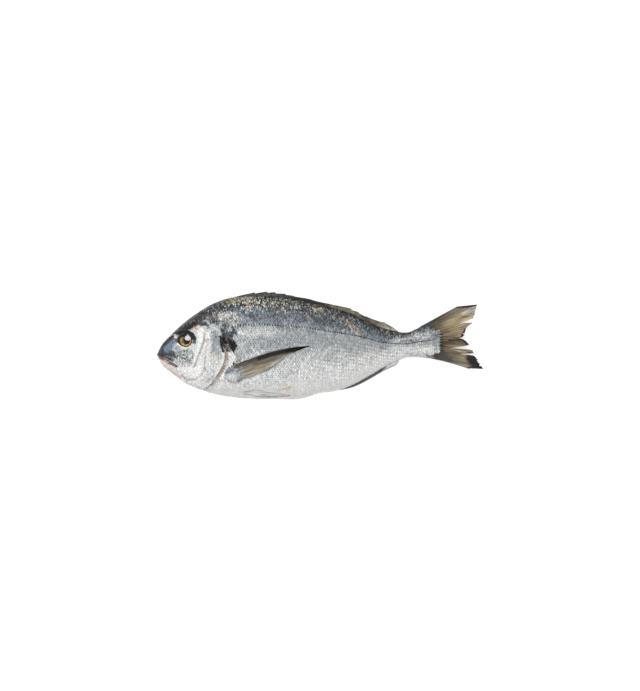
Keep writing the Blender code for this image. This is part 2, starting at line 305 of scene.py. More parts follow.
skinMarks = {
    "pearl": [  # white and pale silver
        ([(40.0, 13.0), (41.0, 3.0), (38.5, -8.0), (36.5, -17.0)], 3.4, 3.6, 0.9),
        ([(46.6, 10.0), (46.4, -6.0), (46.8, -20.0)], 2.4, 3.0, 0.9),
        ([(27.0, -21.5), (33.0, -26.0), (38.0, -23.0)], 4.6, 4.0, 0.95),
        ([(60.0, -13.0), (55.0, -22.0), (50.0, -29.5)], 1.7, 2.6, 0.85),
        ([(50.0, -12.0), (51.0, -19.0), (47.0, -27.0)], 2.4, 4.0, 0.5),
        ([(59.4, -5.0), (60.4, -11.0)], 1.2, 2.0, 0.7),
        ([(65.4, -7.4), (67.6, -12.0), (65.6, -17.6)], 3.3, 2.6, 1.0),
        ([(19.4, 0.2), (21.4, -2.4), (24.4, -3.8), (27.8, -4.0), (31.4, -2.4)], 0.8, 1.0, 1.0),
        ([(73.0, 11.6), (90.0, 11.0), (104.0, 12.0)], 4.2, 9.0, 0.5),
        ([(58.0, 25.5), (66.0, 26.4), (74.0, 24.0)], 4.0, 7.0, 0.52),
        ([(66.0, 20.0), (72.0, 18.6)], 2.4, 4.0, 0.45),
        ([(74.0, 4.0), (80.0, -6.0)], 4.0, 6.0, 0.35),
        ([(218.0, 5.0), (236.0, 6.6), (252.0, 9.0)], 3.0, 5.0, 0.5),
        ([(216.0, -3.0), (232.0, -3.0), (250.0, -3.4)], 3.2, 5.0, 0.5),
        ([(60.0, -40.0), (95.0, -42.5), (130.0, -42.0)], 3.0, 5.0, 0.4),
        ([(17.4, 8.9), (19.2, 8.2), (20.4, 8.4)], 1.5, 1.4, 0.95),
        ([(44.0, 18.0), (50.0, 18.6), (57.0, 17.4)], 2.4, 4.0, 0.55),
        ([(37.0, 13.6), (41.0, 12.6)], 1.6, 2.0, 0.8),
        ([(13.4, 0.6), (16.6, -1.6)], 1.0, 2.4, 0.6),
        ([(8.4, -3.4), (11.6, 0.6)], 0.6, 1.8, 0.5),
        ([(11.0, -6.4), (14.0, -5.0)], 0.6, 1.8, 0.4),
        ([(76.0, 42.4), (84.0, 42.6)], 1.6, 4.0, 0.35),
    ],
    "steel": [  # mid grey with a blue tinge
        ([(54.6, 11.0), (54.2, 4.0), (53.2, -1.0), (51.4, -5.0)], 2.4, 5.4, 0.8),
        ([(56.0, 2.0), (57.6, -3.0)], 1.8, 4.0, 0.5),
        ([(96.0, 5.0), (118.0, 3.0), (140.0, 3.0), (160.0, 4.0)], 4.6, 8.0, 0.5),
        ([(78.0, -7.0), (96.0, -4.0), (112.0, -1.0)], 3.0, 6.0, 0.5),
        ([(46.0, 21.0), (57.0, 17.0), (66.0, 12.0)], 3.0, 4.0, 0.5),
        ([(230.0, -8.6), (242.0, -9.4), (256.0, -8.4)], 1.6, 4.0, 0.5),
        ([(257.0, 10.0), (258.0, 2.0), (256.0, -6.0)], 3.0, 6.0, 0.42),
        ([(226.0, 8.4), (238.0, 10.4), (252.0, 12.6)], 2.0, 4.0, 0.45),
        ([(228.0, -7.4), (244.0, -7.6)], 1.6, 4.0, 0.4),
        ([(246.0, 14.0), (259.0, 12.6)], 2.0, 2.4, 0.6),
        ([(46.0, -34.0), (52.0, -29.0)], 1.6, 3.0, 0.5),
        ([(52.0, -17.0), (50.0, -24.0)], 0.8, 2.0, 0.4),
        ([(40.0, -32.0), (47.0, -31.0)], 1.2, 3.0, 0.35),
        ([(14.0, -1.0), (18.0, -4.0), (20.0, -9.0)], 3.2, 4.6, 0.5),
        ([(100.0, -28.0), (120.0, -26.0)], 4.0, 8.0, 0.3),
    ],
    "slate": [  # the dark blue-grey of the forehead, the snout and the back
        ([(17.0, 13.4), (26.0, 18.4), (34.0, 23.0), (45.0, 29.6), (56.0, 36.5)], 5.0, 3.0, 1.0),
        ([(22.0, 19.0), (32.0, 27.0), (44.0, 35.0)], 6.0, 4.0, 1.0),
        ([(2.0, -6.0), (6.0, -1.0), (11.0, 4.0), (15.0, 7.0)], 3.0, 2.6, 0.95),
        ([(5.0, -7.0), (10.0, -7.0), (14.0, -9.0)], 3.4, 4.0, 0.95),
        ([(33.4, 8.0), (34.2, 5.0), (33.8, 2.6)], 1.7, 2.4, 0.85),
        ([(33.0, 21.0), (41.0, 20.8), (46.0, 18.6)], 1.9, 3.4, 0.85),
        ([(49.0, 21.6), (54.0, 19.4)], 1.0, 3.0, 0.5),
        ([(46.0, 25.0), (54.0, 27.0)], 2.4, 3.0, 0.8),
        ([(61.0, 10.0), (68.0, 9.0), (70.0, 14.0)], 2.6, 3.0, 0.85),
        ([(60.0, 15.0), (64.0, 18.6)], 1.6, 3.0, 0.7),
        ([(64.0, 6.0), (68.0, 3.0)], 3.6, 3.0, 0.8),
        ([(218.0, 11.4), (232.0, 11.6), (242.0, 15.2), (254.0, 20.0)], 2.7, 2.6, 0.95),
        ([(248.0, -10.4), (258.0, -9.6)], 1.4, 2.4, 0.6),
        ([(200.0, 12.0), (216.0, 8.4), (232.0, 9.0)], 2.4, 4.0, 0.45),
    ],
    "azure": [  # slate blue
        ([(9.0, -3.4), (12.6, 1.6), (17.0, 5.0)], 3.0, 4.0, 0.9),
        ([(8.0, -6.0), (16.0, -8.0)], 1.6, 3.0, 0.4),
        ([(72.0, 31.0), (84.0, 31.5), (96.0, 29.0)], 3.6, 6.0, 0.5),
        ([(112.0, 32.0), (130.0, 27.0)], 2.4, 5.0, 0.35),
        ([(176.0, 20.0), (190.0, 14.0)], 3.0, 5.0, 0.35),
        ([(252.0, 9.0), (258.0, 4.0), (256.0, -4.0)], 2.0, 4.0, 0.3),
    ],
    "gold": [
        ([(16.2, 9.6), (17.0, 7.8)], 0.7, 1.0, 0.5),
        ([(32.6, 16.8), (36.6, 15.8)], 1.2, 1.6, 0.8),
        ([(36.0, 14.4), (41.0, 12.8)], 1.4, 2.6, 0.4),
        ([(42.4, 10.0), (43.6, 2.0), (44.4, -8.0)], 1.0, 3.0, 0.3),
        ([(62.0, 24.0), (70.0, 21.0)], 2.0, 5.0, 0.3),
        ([(48.2, -6.8), (52.1, -12.5), (56.8, -9.2)], 0.9, 2.0, 0.5),
        ([(54.0, 25.0), (58.0, 28.0)], 1.0, 3.0, 0.45),
        ([(64.0, 39.4), (72.0, 41.6), (86.0, 42.6)], 2.0, 5.0, 0.4),
        ([(67.0, 41.0), (67.4, 37.6)], 0.5, 1.0, 0.8),
        ([(82.4, 42.0), (83.0, 31.4)], 0.7, 1.6, 0.75),
        ([(98.7, 38.0), (99.0, 36.2)], 0.6, 0.8, 0.55),
        ([(106.6, 36.0), (107.4, 33.8)], 0.7, 0.8, 0.55),
        ([(110.4, 37.4), (110.6, 36.0)], 0.6, 0.8, 0.8),
        ([(114.0, 35.6), (114.6, 34.4)], 0.6, 0.8, 0.8),
        ([(137.6, 26.6), (139.0, 25.4)], 0.8, 1.4, 0.6),
        ([(144.0, 33.0), (152.0, 32.4)], 1.2, 3.0, 0.55),
        ([(174.0, 22.6), (180.0, 16.0), (186.0, 12.0)], 2.8, 6.0, 0.38),
        ([(112.6, -40.6), (117.0, -39.4), (121.0, -38.6)], 1.6, 2.4, 0.62),
        ([(119.6, -39.2), (128.0, -40.4)], 1.4, 2.4, 0.52),
    ],
    "rose": [  # thin warm skin: the jaw, the throat and the vent
        ([(0.2, -12.4), (6.0, -17.6), (12.0, -22.4), (20.0, -29.0)], 2.0, 2.6, 0.85),
        ([(9.4, -16.6), (16.0, -20.4)], 0.7, 1.0, 0.8),
        ([(15.2, 9.2), (16.6, 7.8)], 1.1, 1.2, 0.9),
        ([(40.8, -22.4), (39.6, -28.4), (34.4, -32.0), (27.0, -32.4), (21.5, -27.0)], 0.8, 2.0, 0.35),
        ([(53.0, 27.0), (58.0, 29.6), (62.0, 27.0)], 1.8, 4.0, 0.45),
        ([(45.0, 25.6), (50.0, 25.0)], 0.7, 1.2, 0.6),
        ([(180.0, -14.0), (205.0, -9.0)], 4.0, 8.0, 0.3),
        ([(173.0, 23.6), (178.0, 17.0), (184.0, 11.6)], 2.6, 5.0, 0.24),
        ([(133.0, -45.6), (140.0, -44.4)], 1.2, 2.0, 0.7),
    ],
    "creaseShadow": [  # painted shadow: soft warm grey in the folds of the gill cover
        ([(43.0, 6.0), (42.0, 2.0), (39.6, -5.4), (36.8, -13.0), (33.6, -20.0)], 0.9, 2.4, 0.6),
        ([(42.8, -7.0), (43.6, -15.2)], 0.7, 2.0, 0.4),
        ([(44.0, -19.0), (42.0, -25.0), (38.0, -30.0), (30.0, -32.4), (22.0, -28.0)], 0.9, 2.4, 0.35),
        ([(25.0, -33.6), (36.0, -39.0), (46.0, -40.0)], 1.6, 3.0, 0.35),
    ],
    "umber": [  # dark warm brown
        ([(0.2, -9.6), (4.6, -12.0), (9.0, -14.2), (14.0, -17.2), (17.4, -19.4)], 1.1, 1.6, 0.85),
        ([(10.8, 3.9), (14.4, 5.7)], 0.8, 1.0, 0.8),
        ([(28.0, 15.6), (33.0, 19.0), (39.0, 21.4)], 1.2, 3.0, 0.6),
        ([(44.0, 26.4), (51.0, 26.6)], 0.8, 1.6, 0.6),
        ([(82.2, 41.0), (82.6, 36.0)], 0.5, 1.0, 0.7),
        ([(66.6, 40.4), (67.0, 36.4)], 0.4, 0.8, 0.6),
        ([(120.0, 39.0), (127.0, 37.8)], 0.9, 2.0, 0.55),
        ([(177.0, 22.0), (180.0, 18.0)], 1.4, 4.0, 0.45),
        ([(261.4, 4.0), (261.4, -6.0)], 0.6, 1.0, 0.5),
    ],
    "ink": [  # black
        ([(14.6, 10.4), (18.6, 11.6)], 0.7, 1.0, 0.9),
        # the dark brow, and under it an arc of painted shadow that the brow casts over the top of the eye
        ([(18.6, 12.2), (25.8, 12.4), (31.0, 10.2), (33.6, 7.0)], 2.1, 1.8, 1.0),
        ([(20.2, 6.4), (21.6, 8.5), (23.8, 10.0), (26.2, 10.5), (28.6, 10.0), (30.8, 8.6),
          (32.2, 6.2)], 1.2, 1.4, 1.0),
        ([(20.0, 15.0), (28.0, 17.0), (34.0, 20.0)], 3.0, 4.0, 0.75),
        ([(28.0, 20.0), (36.0, 26.0), (44.0, 30.0)], 3.4, 5.0, 0.6),
        ([(4.0, -0.8), (8.0, 3.8), (14.4, 8.6)], 0.9, 1.2, 0.95),
        ([(0.2, -8.2), (4.0, -9.8), (9.0, -11.6), (14.0, -14.0)], 1.4, 1.6, 0.75),
        # painted shade under the lower edge of the gill cover
        ([(52.6, -34.6), (47.8, -38.6), (42.6, -40.8)], 0.7, 1.2, 0.7),
        ([(57.9, 8.0), (58.5, 4.0), (59.4, 0.0), (61.2, -5.6)], 1.2, 0.8, 1.0),
        ([(60.4, 7.6), (61.2, 2.6), (62.2, -1.0)], 1.2, 1.0, 1.0),
        ([(61.4, 7.0), (62.8, 2.0), (64.6, -1.0)], 1.2, 2.2, 0.8),
        ([(65.0, 3.6), (67.0, 0.8), (68.2, -3.6)], 3.0, 2.6, 0.95),
        ([(69.0, 1.6), (71.6, 0.2)], 1.2, 2.2, 0.9),
        ([(68.8, -16.9), (73.2, -15.5)], 1.1, 1.0, 1.0),
        ([(75.0, -14.6), (79.4, -13.4)], 0.6, 1.4, 0.5),
        ([(37.4, 20.2), (41.6, 18.8), (44.6, 19.6)], 0.7, 2.0, 0.6),
        ([(46.0, 15.0), (48.0, 16.6)], 0.6, 1.0, 0.6),
        ([(50.0, 19.4), (53.0, 21.0), (57.0, 20.4)], 0.7, 1.2, 0.6),
        ([(224.0, 11.6), (234.0, 12.4), (243.0, 17.0)], 1.3, 1.6, 0.8),
        ([(100.0, 44.4), (128.0, 41.6), (145.0, 38.0), (160.0, 33.8), (180.7, 27.6), (196.3, 19.8),
          (208.4, 14.6), (222.0, 12.6)], 1.0, 1.4, 0.9),
    ],
}


eyeShape = {
    "x": 26.9, "y": 4.2, "radius": 8.5, "sunk": 6.2, "iris": 5.9,
    "pupil": 2.95, "pupilX": 27.9, "pupilY": 3.9, "rings": 64, "segments": 112,
    # cloud: a pale patch on the pupil, partly the clouded lens and partly a painted reflection of the light
    "cloud": [([(28.2, 6.6), (29.4, 6.4)], 2.1, 1.0, 1.0), ([(29.0, 7.6), (29.0, 9.0)], 1.1, 1.2, 0.9)],
}


def seenX(x):
    # seen from above, the raised head and tail stand a little further out than they are
    return x - 0.9 * (1.0 - x / 150.0)


def paintOn(points, wander=0.9):
    x, y = seenX(points[:, 0]), points[:, 1]
    shift = wander * (grainAt(points, 4.5, 7.0) * 1.4 + grainAt(points, 1.5, 19.0) * 0.7)
    lift = wander * (grainAt(points, 4.0, 31.0) * 1.2 + grainAt(points, 1.4, 43.0) * 0.6)
    marks = {mark: painted(x + shift, y + lift, strokes) for mark, strokes in skinMarks.items()}
    marks["moss"] = painted(x, y, cheekStrokes)
    return marks


cheekInk = {
    "columns": 14, "rows": 14, "firstX": 13.0, "firstY": -1.4, "gap": 1.5, "clearOfEye": 8.0,
    "middle": (22.6, -9.4), "reach": (12.5, 12.0), "strength": 0.86, "fade": 0.66, "most": 0.85,
    "radius": 0.22, "softness": 0.5, "length": 0.9, "unevenLength": 0.3,
}


def makeCheekStrokes():
    # short dark strokes between the scales of the cheek, steep and leaning back
    ink = cheekInk
    (middleX, middleY), (reachX, reachY) = ink["middle"], ink["reach"]
    strokes = []
    for i in range(ink["columns"]):
        for j in range(ink["rows"]):
            x = ink["firstX"] + i * ink["gap"] + dice.normal(0, 0.25)
            y = ink["firstY"] - j * ink["gap"] - ink["gap"] / 2 * (i % 2) + dice.normal(0, 0.2)
            far = math.hypot((x - middleX) / reachX, (y - middleY) / reachY)
            strength = ink["strength"] - ink["fade"] * far + dice.normal(0, 0.20)
            fromEye = math.hypot(x - eyeShape["x"], y - eyeShape["y"])
            if strength > 0.15 and fromEye > ink["clearOfEye"]:
                run = ink["length"] + ink["unevenLength"] * dice.random()
                line = [(x - 0.3 * run, y + run * 0.8), (x + 0.3 * run, y - run * 0.8)]
                strokes.append((line, ink["radius"], ink["softness"], min(strength, ink["most"])))
    return strokes


def bodyHeight(x, y):
    # 1 on the back, 0 on the lateral line, -1 on the belly
    line = curveValue(bodyShape["lateralLine"], x)
    back, belly, _, _ = section(np.clip(x, 1.0, bodyShape["length"] - 1.0))
    line = np.clip(line, belly + 1.0, back - 1.0)
    return np.clip(np.where(y > line, (y - line) / (back - line), (y - line) / (line - belly)), -1, 1)


cheekStrokes = makeCheekStrokes()


# Head and trunk

headShape = {
    "rings": 150, "segments": 420, "pebbles": 0.10, "grain": 0.05, "socketRim": 0.55, "socketDepth": 2.4,
    "folds": [
        ([(-2.0, -9.8), (4.8, -14.1), (8.6, -16.5), (12.9, -18.2), (17.1, -20.4)], 0.42, -1.3),  # mouth
        ([(-1.0, -8.4), (5.0, -12.2), (10.0, -15.0), (15.0, -17.8)], 1.2, 0.35),
        ([(-1.0, -11.8), (4.0, -15.4), (9.0, -18.6), (15.0, -21.8)], 1.1, 0.3),
        ([(6.5, -8.2), (12.6, -11.4), (17.0, -15.4), (19.0, -19.6), (17.0, -22.0)], 0.8, -0.22),
        ([(5.0, -19.5), (12.0, -24.0), (20.0, -29.4)], 0.6, -0.45),
        ([(43.4, 11.0), (42.8, 3.3), (39.9, -5.3), (37.1, -12.9), (34.2, -19.5)], 1.1, -0.6),
        ([(46.0, 6.0), (45.4, -4.0), (44.4, -14.0), (43.0, -22.0), (40.6, -28.0), (35.5, -31.8),
          (27.5, -32.4), (22.0, -28.0)], 1.0, -0.6),
        ([(44.2, -24.0), (42.2, -30.4), (35.5, -34.4), (27.0, -34.0)], 1.1, 0.45),
        ([(50.0, 9.0), (57.0, 5.0), (59.0, -2.0)], 1.6, -0.35),
        ([(22.0, -9.5), (30.0, -12.0), (34.0, -8.0)], 5.0, 0.5),
        ([(31.0, -25.0), (36.0, -27.5)], 4.5, 0.5),
        ([(52.0, -6.0), (53.0, -16.0), (49.0, -26.0)], 6.0, 0.6),
        ([(20.0, 12.4), (26.0, 13.0), (32.5, 10.4)], 1.5, 0.8),
        ([(16.6, 4.8), (17.4, 2.8)], 0.55, -1.0),  # nostrils
        ([(13.6, 2.6)], 0.6, -0.9),
        ([(13.6, 2.6)], 1.4, 0.25),
    ],
    # where the cheek has scales
    "cheek": [
        ([(17.0, -6.0), (22.0, -12.0), (29.0, -9.0)], 5.6, 4.0, 1.0),
        ([(24.0, -16.0), (28.0, -16.0)], 4.0, 4.0, 0.7),
    ],
    # how deep the rear edge turns in under the gill cover: x past the edge, depth under the skin
    "turnIn": [(0.25, 0.35), (-0.1, 1.0), (-5.0, 1.8), (-14.0, 5.0)],
    "restLevel": 0.24, "inside": [38.0, 0.0, 19.0],
}


def headRelief(points, facing=1.0):
    # facing is how far the skin faces the side: the folds fade where it turns to the back and belly
    x, y = points[..., 0], points[..., 1]
    rise = reliefOf(seenX(x), y, headShape["folds"])
    fromEye = np.hypot(x - eyeShape["x"], y - eyeShape["y"])
    iris = eyeShape["iris"]
    rise += headShape["socketRim"] * np.exp(-(((fromEye - iris - 0.8) / 0.8) ** 2))
    rise -= headShape["socketDepth"] * (1 - smoothStep(iris - 1.0, iris + 0.2, fromEye))
    return rise * smoothStep(0.05, 0.35, facing)


def makeHead(material):
    rings, segments = headShape["rings"], headShape["segments"]
    angles = np.arange(segments) / segments * 2 * math.pi
    edge = edgeX(angles)
    shares = (np.arange(1, rings + 1) / rings) ** 1.2
    x = shares[:, None] * edge[None, :]
    a = np.broadcast_to(angles, x.shape)
    normals = skinNormal(x, a).reshape(-1, 3)
    flat = skinPoint(x, a).reshape(-1, 3)
    rise = headRelief(flat, np.abs(normals[:, 2]))
    rise += headShape["pebbles"] * grainAt(flat, 2.2) + headShape["grain"] * grainAt(flat, 0.9, 5.0)
    flat = flat + normals * rise[:, None]
    flat[:, 2] = np.maximum(flat[:, 2], headShape["restLevel"])
    lips = [skinPoint(edge + run, angles, inset) for run, inset in headShape["turnIn"]]
    nose = [0.0, section(0.0)[2], spineHeight(0.0)]
    points = np.concatenate([flat] + lips + [[nose, headShape["inside"]]])
    faces = tubeFaces(rings + len(lips), segments)
    marks = paintOn(points)
    unseen = len(points) - len(rise)
    marks["height"] = bodyHeight(points[:, 0], points[:, 1])
    # painted shade: darker in the grooves and the eye socket, and on the skin that turns in under the gill
    # cover
    marks["grooveShade"] = np.concatenate([np.clip(-rise / 0.9, 0, 1), np.full(unseen, 0.8)])
    return putOnFish("head_skin", points, faces, material, marks)


# how far back the body reaches on the tail fin, by height
tailEnd = [
    (-12.0, 246.0), (-9.0, 252.0), (-6.4, 260.0), (12.0, 260.0), (14.4, 256.0), (18.0, 247.0),
    (20.0, 242.0),
]


def tailTeeth(y):
    # the last scales end in a zigzag
    return 1.1 * np.abs((y / 2.5) % 1.0 - 0.5)


trunkShape = {
    "rings": 150, "segments": 160, "underGillCover": 7.0, "shortOfScales": 1.6,
    "inset": 0.25, "insetAtGill": 1.1, "restLevel": 0.42, "inside": [46.0, 0.0, 19.0],
}


def makeTrunk(material):
    rings, segments = trunkShape["rings"], trunkShape["segments"]
    angles = np.arange(segments) / segments * 2 * math.pi
    edge = edgeX(angles)
    start = edge - trunkShape["underGillCover"]
    end = np.full(segments, 255.0)
    for _ in range(14):
        reach = straightValue(tailEnd, skinPoint(end, angles)[:, 1]) - trunkShape["shortOfScales"]
        end = 0.5 * end + 0.5 * reach
    shares = (np.arange(rings) / (rings - 1)) ** 1.1
    x = start[None, :] + (end - start)[None, :] * shares[:, None]
    a = np.broadcast_to(angles, x.shape)
    deeper = 1 - smoothStep(edge - 3.0, edge + 1.2, x)
    points = skinPoint(x, a, trunkShape["inset"] + trunkShape["insetAtGill"] * deeper).reshape(-1, 3)
    points[:, 2] = np.maximum(points[:, 2], trunkShape["restLevel"])
    tail = [bodyShape["length"] - 3.0, 3.0, spineHeight(bodyShape["length"] - 3.0)]
    points = np.concatenate([points, [trunkShape["inside"], tail]])
    faces = tubeFaces(rings, segments)
    marks = paintOn(points)
    # painted shade on the flank just behind the gill cover's edge, which overhangs it
    shade = (1 - smoothStep(edge + 0.4, edge + 2.4, x)).ravel() * smoothStep(-46.0, -38.0, points[:-2, 1])
    marks["height"] = bodyHeight(points[:, 0], points[:, 1])
    marks["grooveShade"] = np.concatenate([0.85 * shade, [0.0, 0.0]])
    return putOnFish("trunk_skin", points, faces, material, marks)


# Scales

scaleCoat = {
    "columnFront": 2.4, "columnTail": 2.0, "rowFront": 2.0, "rowTail": 1.42,
    "overlap": 1.75, "width": 1.06, "firstX": 36.0, "lowAtNape": 0.28,
    "behindGill": 2.8, "napeLow": 15.0, "napeSlope": 0.62, "shortOfEnd": 0.6,
    # the root's depth, the free edge's height, the middle's crown, and the level where the fish rests
    "sunk": -0.22, "lift": 0.34, "crown": 0.16, "ground": 0.20,
}

plateShape = {
    "ahead": 0.45, "rounding": 0.34, "turn": 0.07, "tilt": 0.11, "unevenLift": 0.18, "lip": 0.16,
}


def plates(x, angle, side, length, halfWidth, marks, coat, lift=None, lean=0.0, relief=None):
    # overlapping scales: each is a small curved plate with a rounded free edge and a thin lip;
    # where the fish rests on the table they lie just above coat["ground"], one over the next
    along = np.array([0.0, 0.4, 0.75, 1.0, 1.0])
    across = np.array([-1.0, -0.52, 0.0, 0.52, 1.0])
    g, v = (grid.ravel() for grid in np.meshgrid(along, across, indexing="ij"))
    lip = np.repeat([0.0, 0.0, 0.0, 0.0, 1.0], len(across))
    count = len(x)
    turn = dice.normal(0.0, plateShape["turn"], count) + lean
    dx = length[:, None] * (g - plateShape["ahead"] - plateShape["rounding"] * g * v * v)
    dy = halfWidth[:, None] * v * (0.9 + 0.1 * g)
    runX = dx * np.cos(turn)[:, None] - dy * np.sin(turn)[:, None]
    runY = dx * np.sin(turn)[:, None] + dy * np.cos(turn)[:, None]
    da = 0.01
    metric = np.linalg.norm(skinPoint(x, angle + da) - skinPoint(x, angle - da), axis=-1) / (2 * da)
    px = np.clip(x[:, None] + runX, 0.5, bodyShape["length"] - 0.2)
    pa = angle[:, None] - side * runY / np.maximum(metric, 1.5)[:, None]
    surface = skinPoint(px, pa)
    normal = skinNormal(px, pa)
    tilt = dice.normal(0.0, plateShape["tilt"], count)[:, None] * v * halfWidth[:, None] * 0.5
    pitch = 1 + dice.normal(0, plateShape["unevenLift"], count)[:, None]
    lift = coat["lift"] if lift is None else lift
    rise = coat["sunk"] + (lift - coat["sunk"]) * g * pitch + coat["crown"] * (1 - v * v) * g
    rise = rise + tilt * g - plateShape["lip"] * lip
    if relief is not None:
        rise = rise + relief(surface)
    points = (surface + normal * rise[..., None]).reshape(-1, 3)
    level = coat["ground"] + 0.12 * (1 - g) + 0.05 * v * v + 0.04 * lip
    points[:, 2] = np.maximum(points[:, 2], np.tile(level, count))
    perPlate = len(g)
    template = np.array(gridFaces(len(along), len(across)))
    if side < 0:
        template = template[:, ::-1]
    faces = (template[None] + (np.arange(count) * perPlate)[:, None, None]).reshape(-1, 4).tolist()
    spread = {mark: np.repeat(values, perPlate) for mark, values in marks.items()}
    spread["tone"] = np.repeat(dice.random(count), perPlate)
    spread["rear"] = np.tile(g, count)
    spread["rim"] = np.tile(np.abs(v), count)
    return points, faces, spread


def scaledSkin(x, y):
    # where the trunk's scales grow: behind the gill cover, and over the nape as far as the eye's rear
    behindGill = x > curveValue(bodyShape["gillEdge"], y) + scaleCoat["behindGill"]
    nape = y > scaleCoat["napeLow"] + np.maximum(0.0, 60.0 - x) * scaleCoat["napeSlope"]
    beforeEnd = x < straightValue(tailEnd, y) - scaleCoat["shortOfEnd"]
    return (behindGill | nape) & (x > scaleCoat["firstX"]) & beforeEnd


def scalePitch(x):
    # the distance between two scales along a row, and between two rows
    share = np.clip((x - 60.0) / 200.0, 0, 1)
    column = scaleCoat["columnFront"] + (scaleCoat["columnTail"] - scaleCoat["columnFront"]) * share
    return column, scaleCoat["rowFront"] + (scaleCoat["rowTail"] - scaleCoat["rowFront"]) * share


def scaleLattice(side):
    # rows run beside the lateral line, and every second row is half a scale further back
    xs, angles, lanes = [], [], []
    x = scaleCoat["firstX"] - 1.0
    samples = np.linspace(0.0, math.pi, 260)
    while x < bodyShape["length"] - 2.6:
        step, rowGap = scalePitch(x)
        for half in (0, 1):
            here = x + half * step / 2
            ring = skinPoint(np.full(samples.shape, here), samples)
            arcs = np.concatenate([[0.0], np.cumsum(np.linalg.norm(np.diff(ring, axis=0), axis=1))])
            lineY = float(curveValue(bodyShape["lateralLine"], here))
            lineArc = float(np.interp(-lineY, -ring[:, 1], arcs))
            first = math.ceil((0.3 - lineArc) / rowGap)
            last = math.floor((arcs[-1] - 0.3 - lineArc) / rowGap)
            for row in range(first, last + 1):
                if row % 2 == half:
                    xs.append(here)
                    lanes.append(half)
                    angles.append(float(np.interp(lineArc + row * rowGap, arcs, samples)))
        x += step
    xs, angles, lanes = np.array(xs), np.array(angles), np.array(lanes)
    xs = xs + dice.normal(0.0, 0.07, len(xs))
    keep = scaledSkin(xs, skinPoint(xs, angles)[:, 1])
    return xs[keep], angles[keep] * side, lanes[keep]


def makeScales(side, word, material):
    x, angle, lane = scaleLattice(side)
    column, rowGap = scalePitch(x)
    centre = skinPoint(x, angle)
    marks = paintOn(centre, 1.6)
    marks["height"] = bodyHeight(x, centre[:, 1])
    marks["place"] = x / bodyShape["length"]
    marks["lane"] = lane
    size = 1 + dice.normal(0.0, 0.05, len(x))
    # the first scales of the nape lie low, so that they grow out of the bare forehead
    low = 1 - smoothStep(scaleCoat["firstX"], 62.0, x)
    lift = (scaleCoat["lift"] - scaleCoat["lowAtNape"] * low)[:, None]
    length, halfWidth = column * scaleCoat["overlap"] * size, rowGap * scaleCoat["width"] * size
    points, faces, spread = plates(x, angle, side, length, halfWidth, marks, scaleCoat, lift)
    print("scales on the", word, "flank:", len(x))
    return putOnFish("scales_" + word, points, faces, material, spread)


def sideAngle(x, y, side):
    # the loft's angle at a point of the side view
    back, belly, widest, _ = section(x)
    reach = np.where(y > widest, back - widest, widest - belly)
    return side * np.arccos(np.clip((y - widest) / reach, -1, 1))


def scalePatch(coat):
    # x and y of small scales in straight columns, every second one half a scale higher
    xs, ys = [], []
    for i in range(coat["columns"]):
        for j in range(coat["rows"]):
            xs.append(coat["firstX"] + i * coat["gap"])
            ys.append(coat["firstY"] + (j + 0.5 * (i % 2)) * coat["gap"] * coat["squeeze"])
    return np.array(xs), np.array(ys)


def makeSmallScales(name, side, x, y, marks, coat, material, relief):
    ones = np.ones(len(x))
    length, halfWidth = coat["length"] * ones, coat["halfWidth"] * ones
    marks["lane"] = 0.5 * ones
    angle = sideAngle(x, y, side)
    points, faces, spread = plates(x, angle, side, length, halfWidth, marks, coat, relief=relief)
    return putOnFish(name, points, faces, material, spread)


headCoat = {
    "columns": 48, "rows": 70, "firstX": 12.0, "firstY": -36.0, "gap": 1.5, "squeeze": 0.9,
    "length": 2.55, "halfWidth": 0.93, "sunk": -0.12, "lift": 0.12, "crown": 0.07, "ground": 0.02,
    # y and x of the gill cover's bare front edge, and how near its rear edge the scales reach
    "coverFront": [(-31.0, 43.0), (-24.0, 44.5), (-14.0, 46.0), (-4.0, 47.6), (8.0, 48.0), (13.0, 50.0)],
    "coverLow": -33.0, "coverHigh": 13.0, "bareEdge": 2.4,
}


def makeHeadScales(side, word, material):
    # small scales on the cheek and on the gill cover
    x, y = scalePatch(headCoat)
    x = x + dice.normal(0, 0.08, len(x))
    y = y + dice.normal(0, 0.06, len(y))
    onCheek = painted(x, y, headShape["cheek"]) > 0.45
    front = straightValue(headCoat["coverFront"], y)
    rear = curveValue(bodyShape["gillEdge"], y) - headCoat["bareEdge"]
    onCover = (x > front) & (x < rear) & (y > headCoat["coverLow"]) & (y < headCoat["coverHigh"])
    back, belly, _, _ = section(x)
    keep = (onCheek | onCover) & (y > belly + 4) & (y < back - 4)
    x, y = x[keep], y[keep]
    marks = paintOn(skinPoint(x, sideAngle(x, y, side)), 1.2)
    marks["height"] = bodyHeight(x, y)
    marks["place"] = x / bodyShape["length"]
    return makeSmallScales("cheek_scales_" + word, side, x, y, marks, headCoat, material, headRelief)


lateralPores = {
    "firstX": 70.0, "finerFrom": 150.0, "endX": 258.0, "gap": 2.45, "finerGap": 2.0,
    # upright ticks in front, dashes further back, and a thin line on the tail: x, then the value
    "length": [(70.0, 0.9), (140.0, 0.9), (176.0, 1.3), (204.0, 2.2), (258.0, 2.2)],
    "halfWidth": [(70.0, 1.25), (130.0, 1.05), (150.0, 0.8), (190.0, 0.62), (206.0, 0.36), (258.0, 0.3)],
    "lean": [(70.0, 0.3), (150.0, 0.2), (204.0, 0.0)],
    "sunk": 0.50, "lift": 0.78, "crown": 0.10, "ground": 0.08,
    "dark": (0.020, 0.022, 0.026), "pale": (0.06, 0.065, 0.07),
}


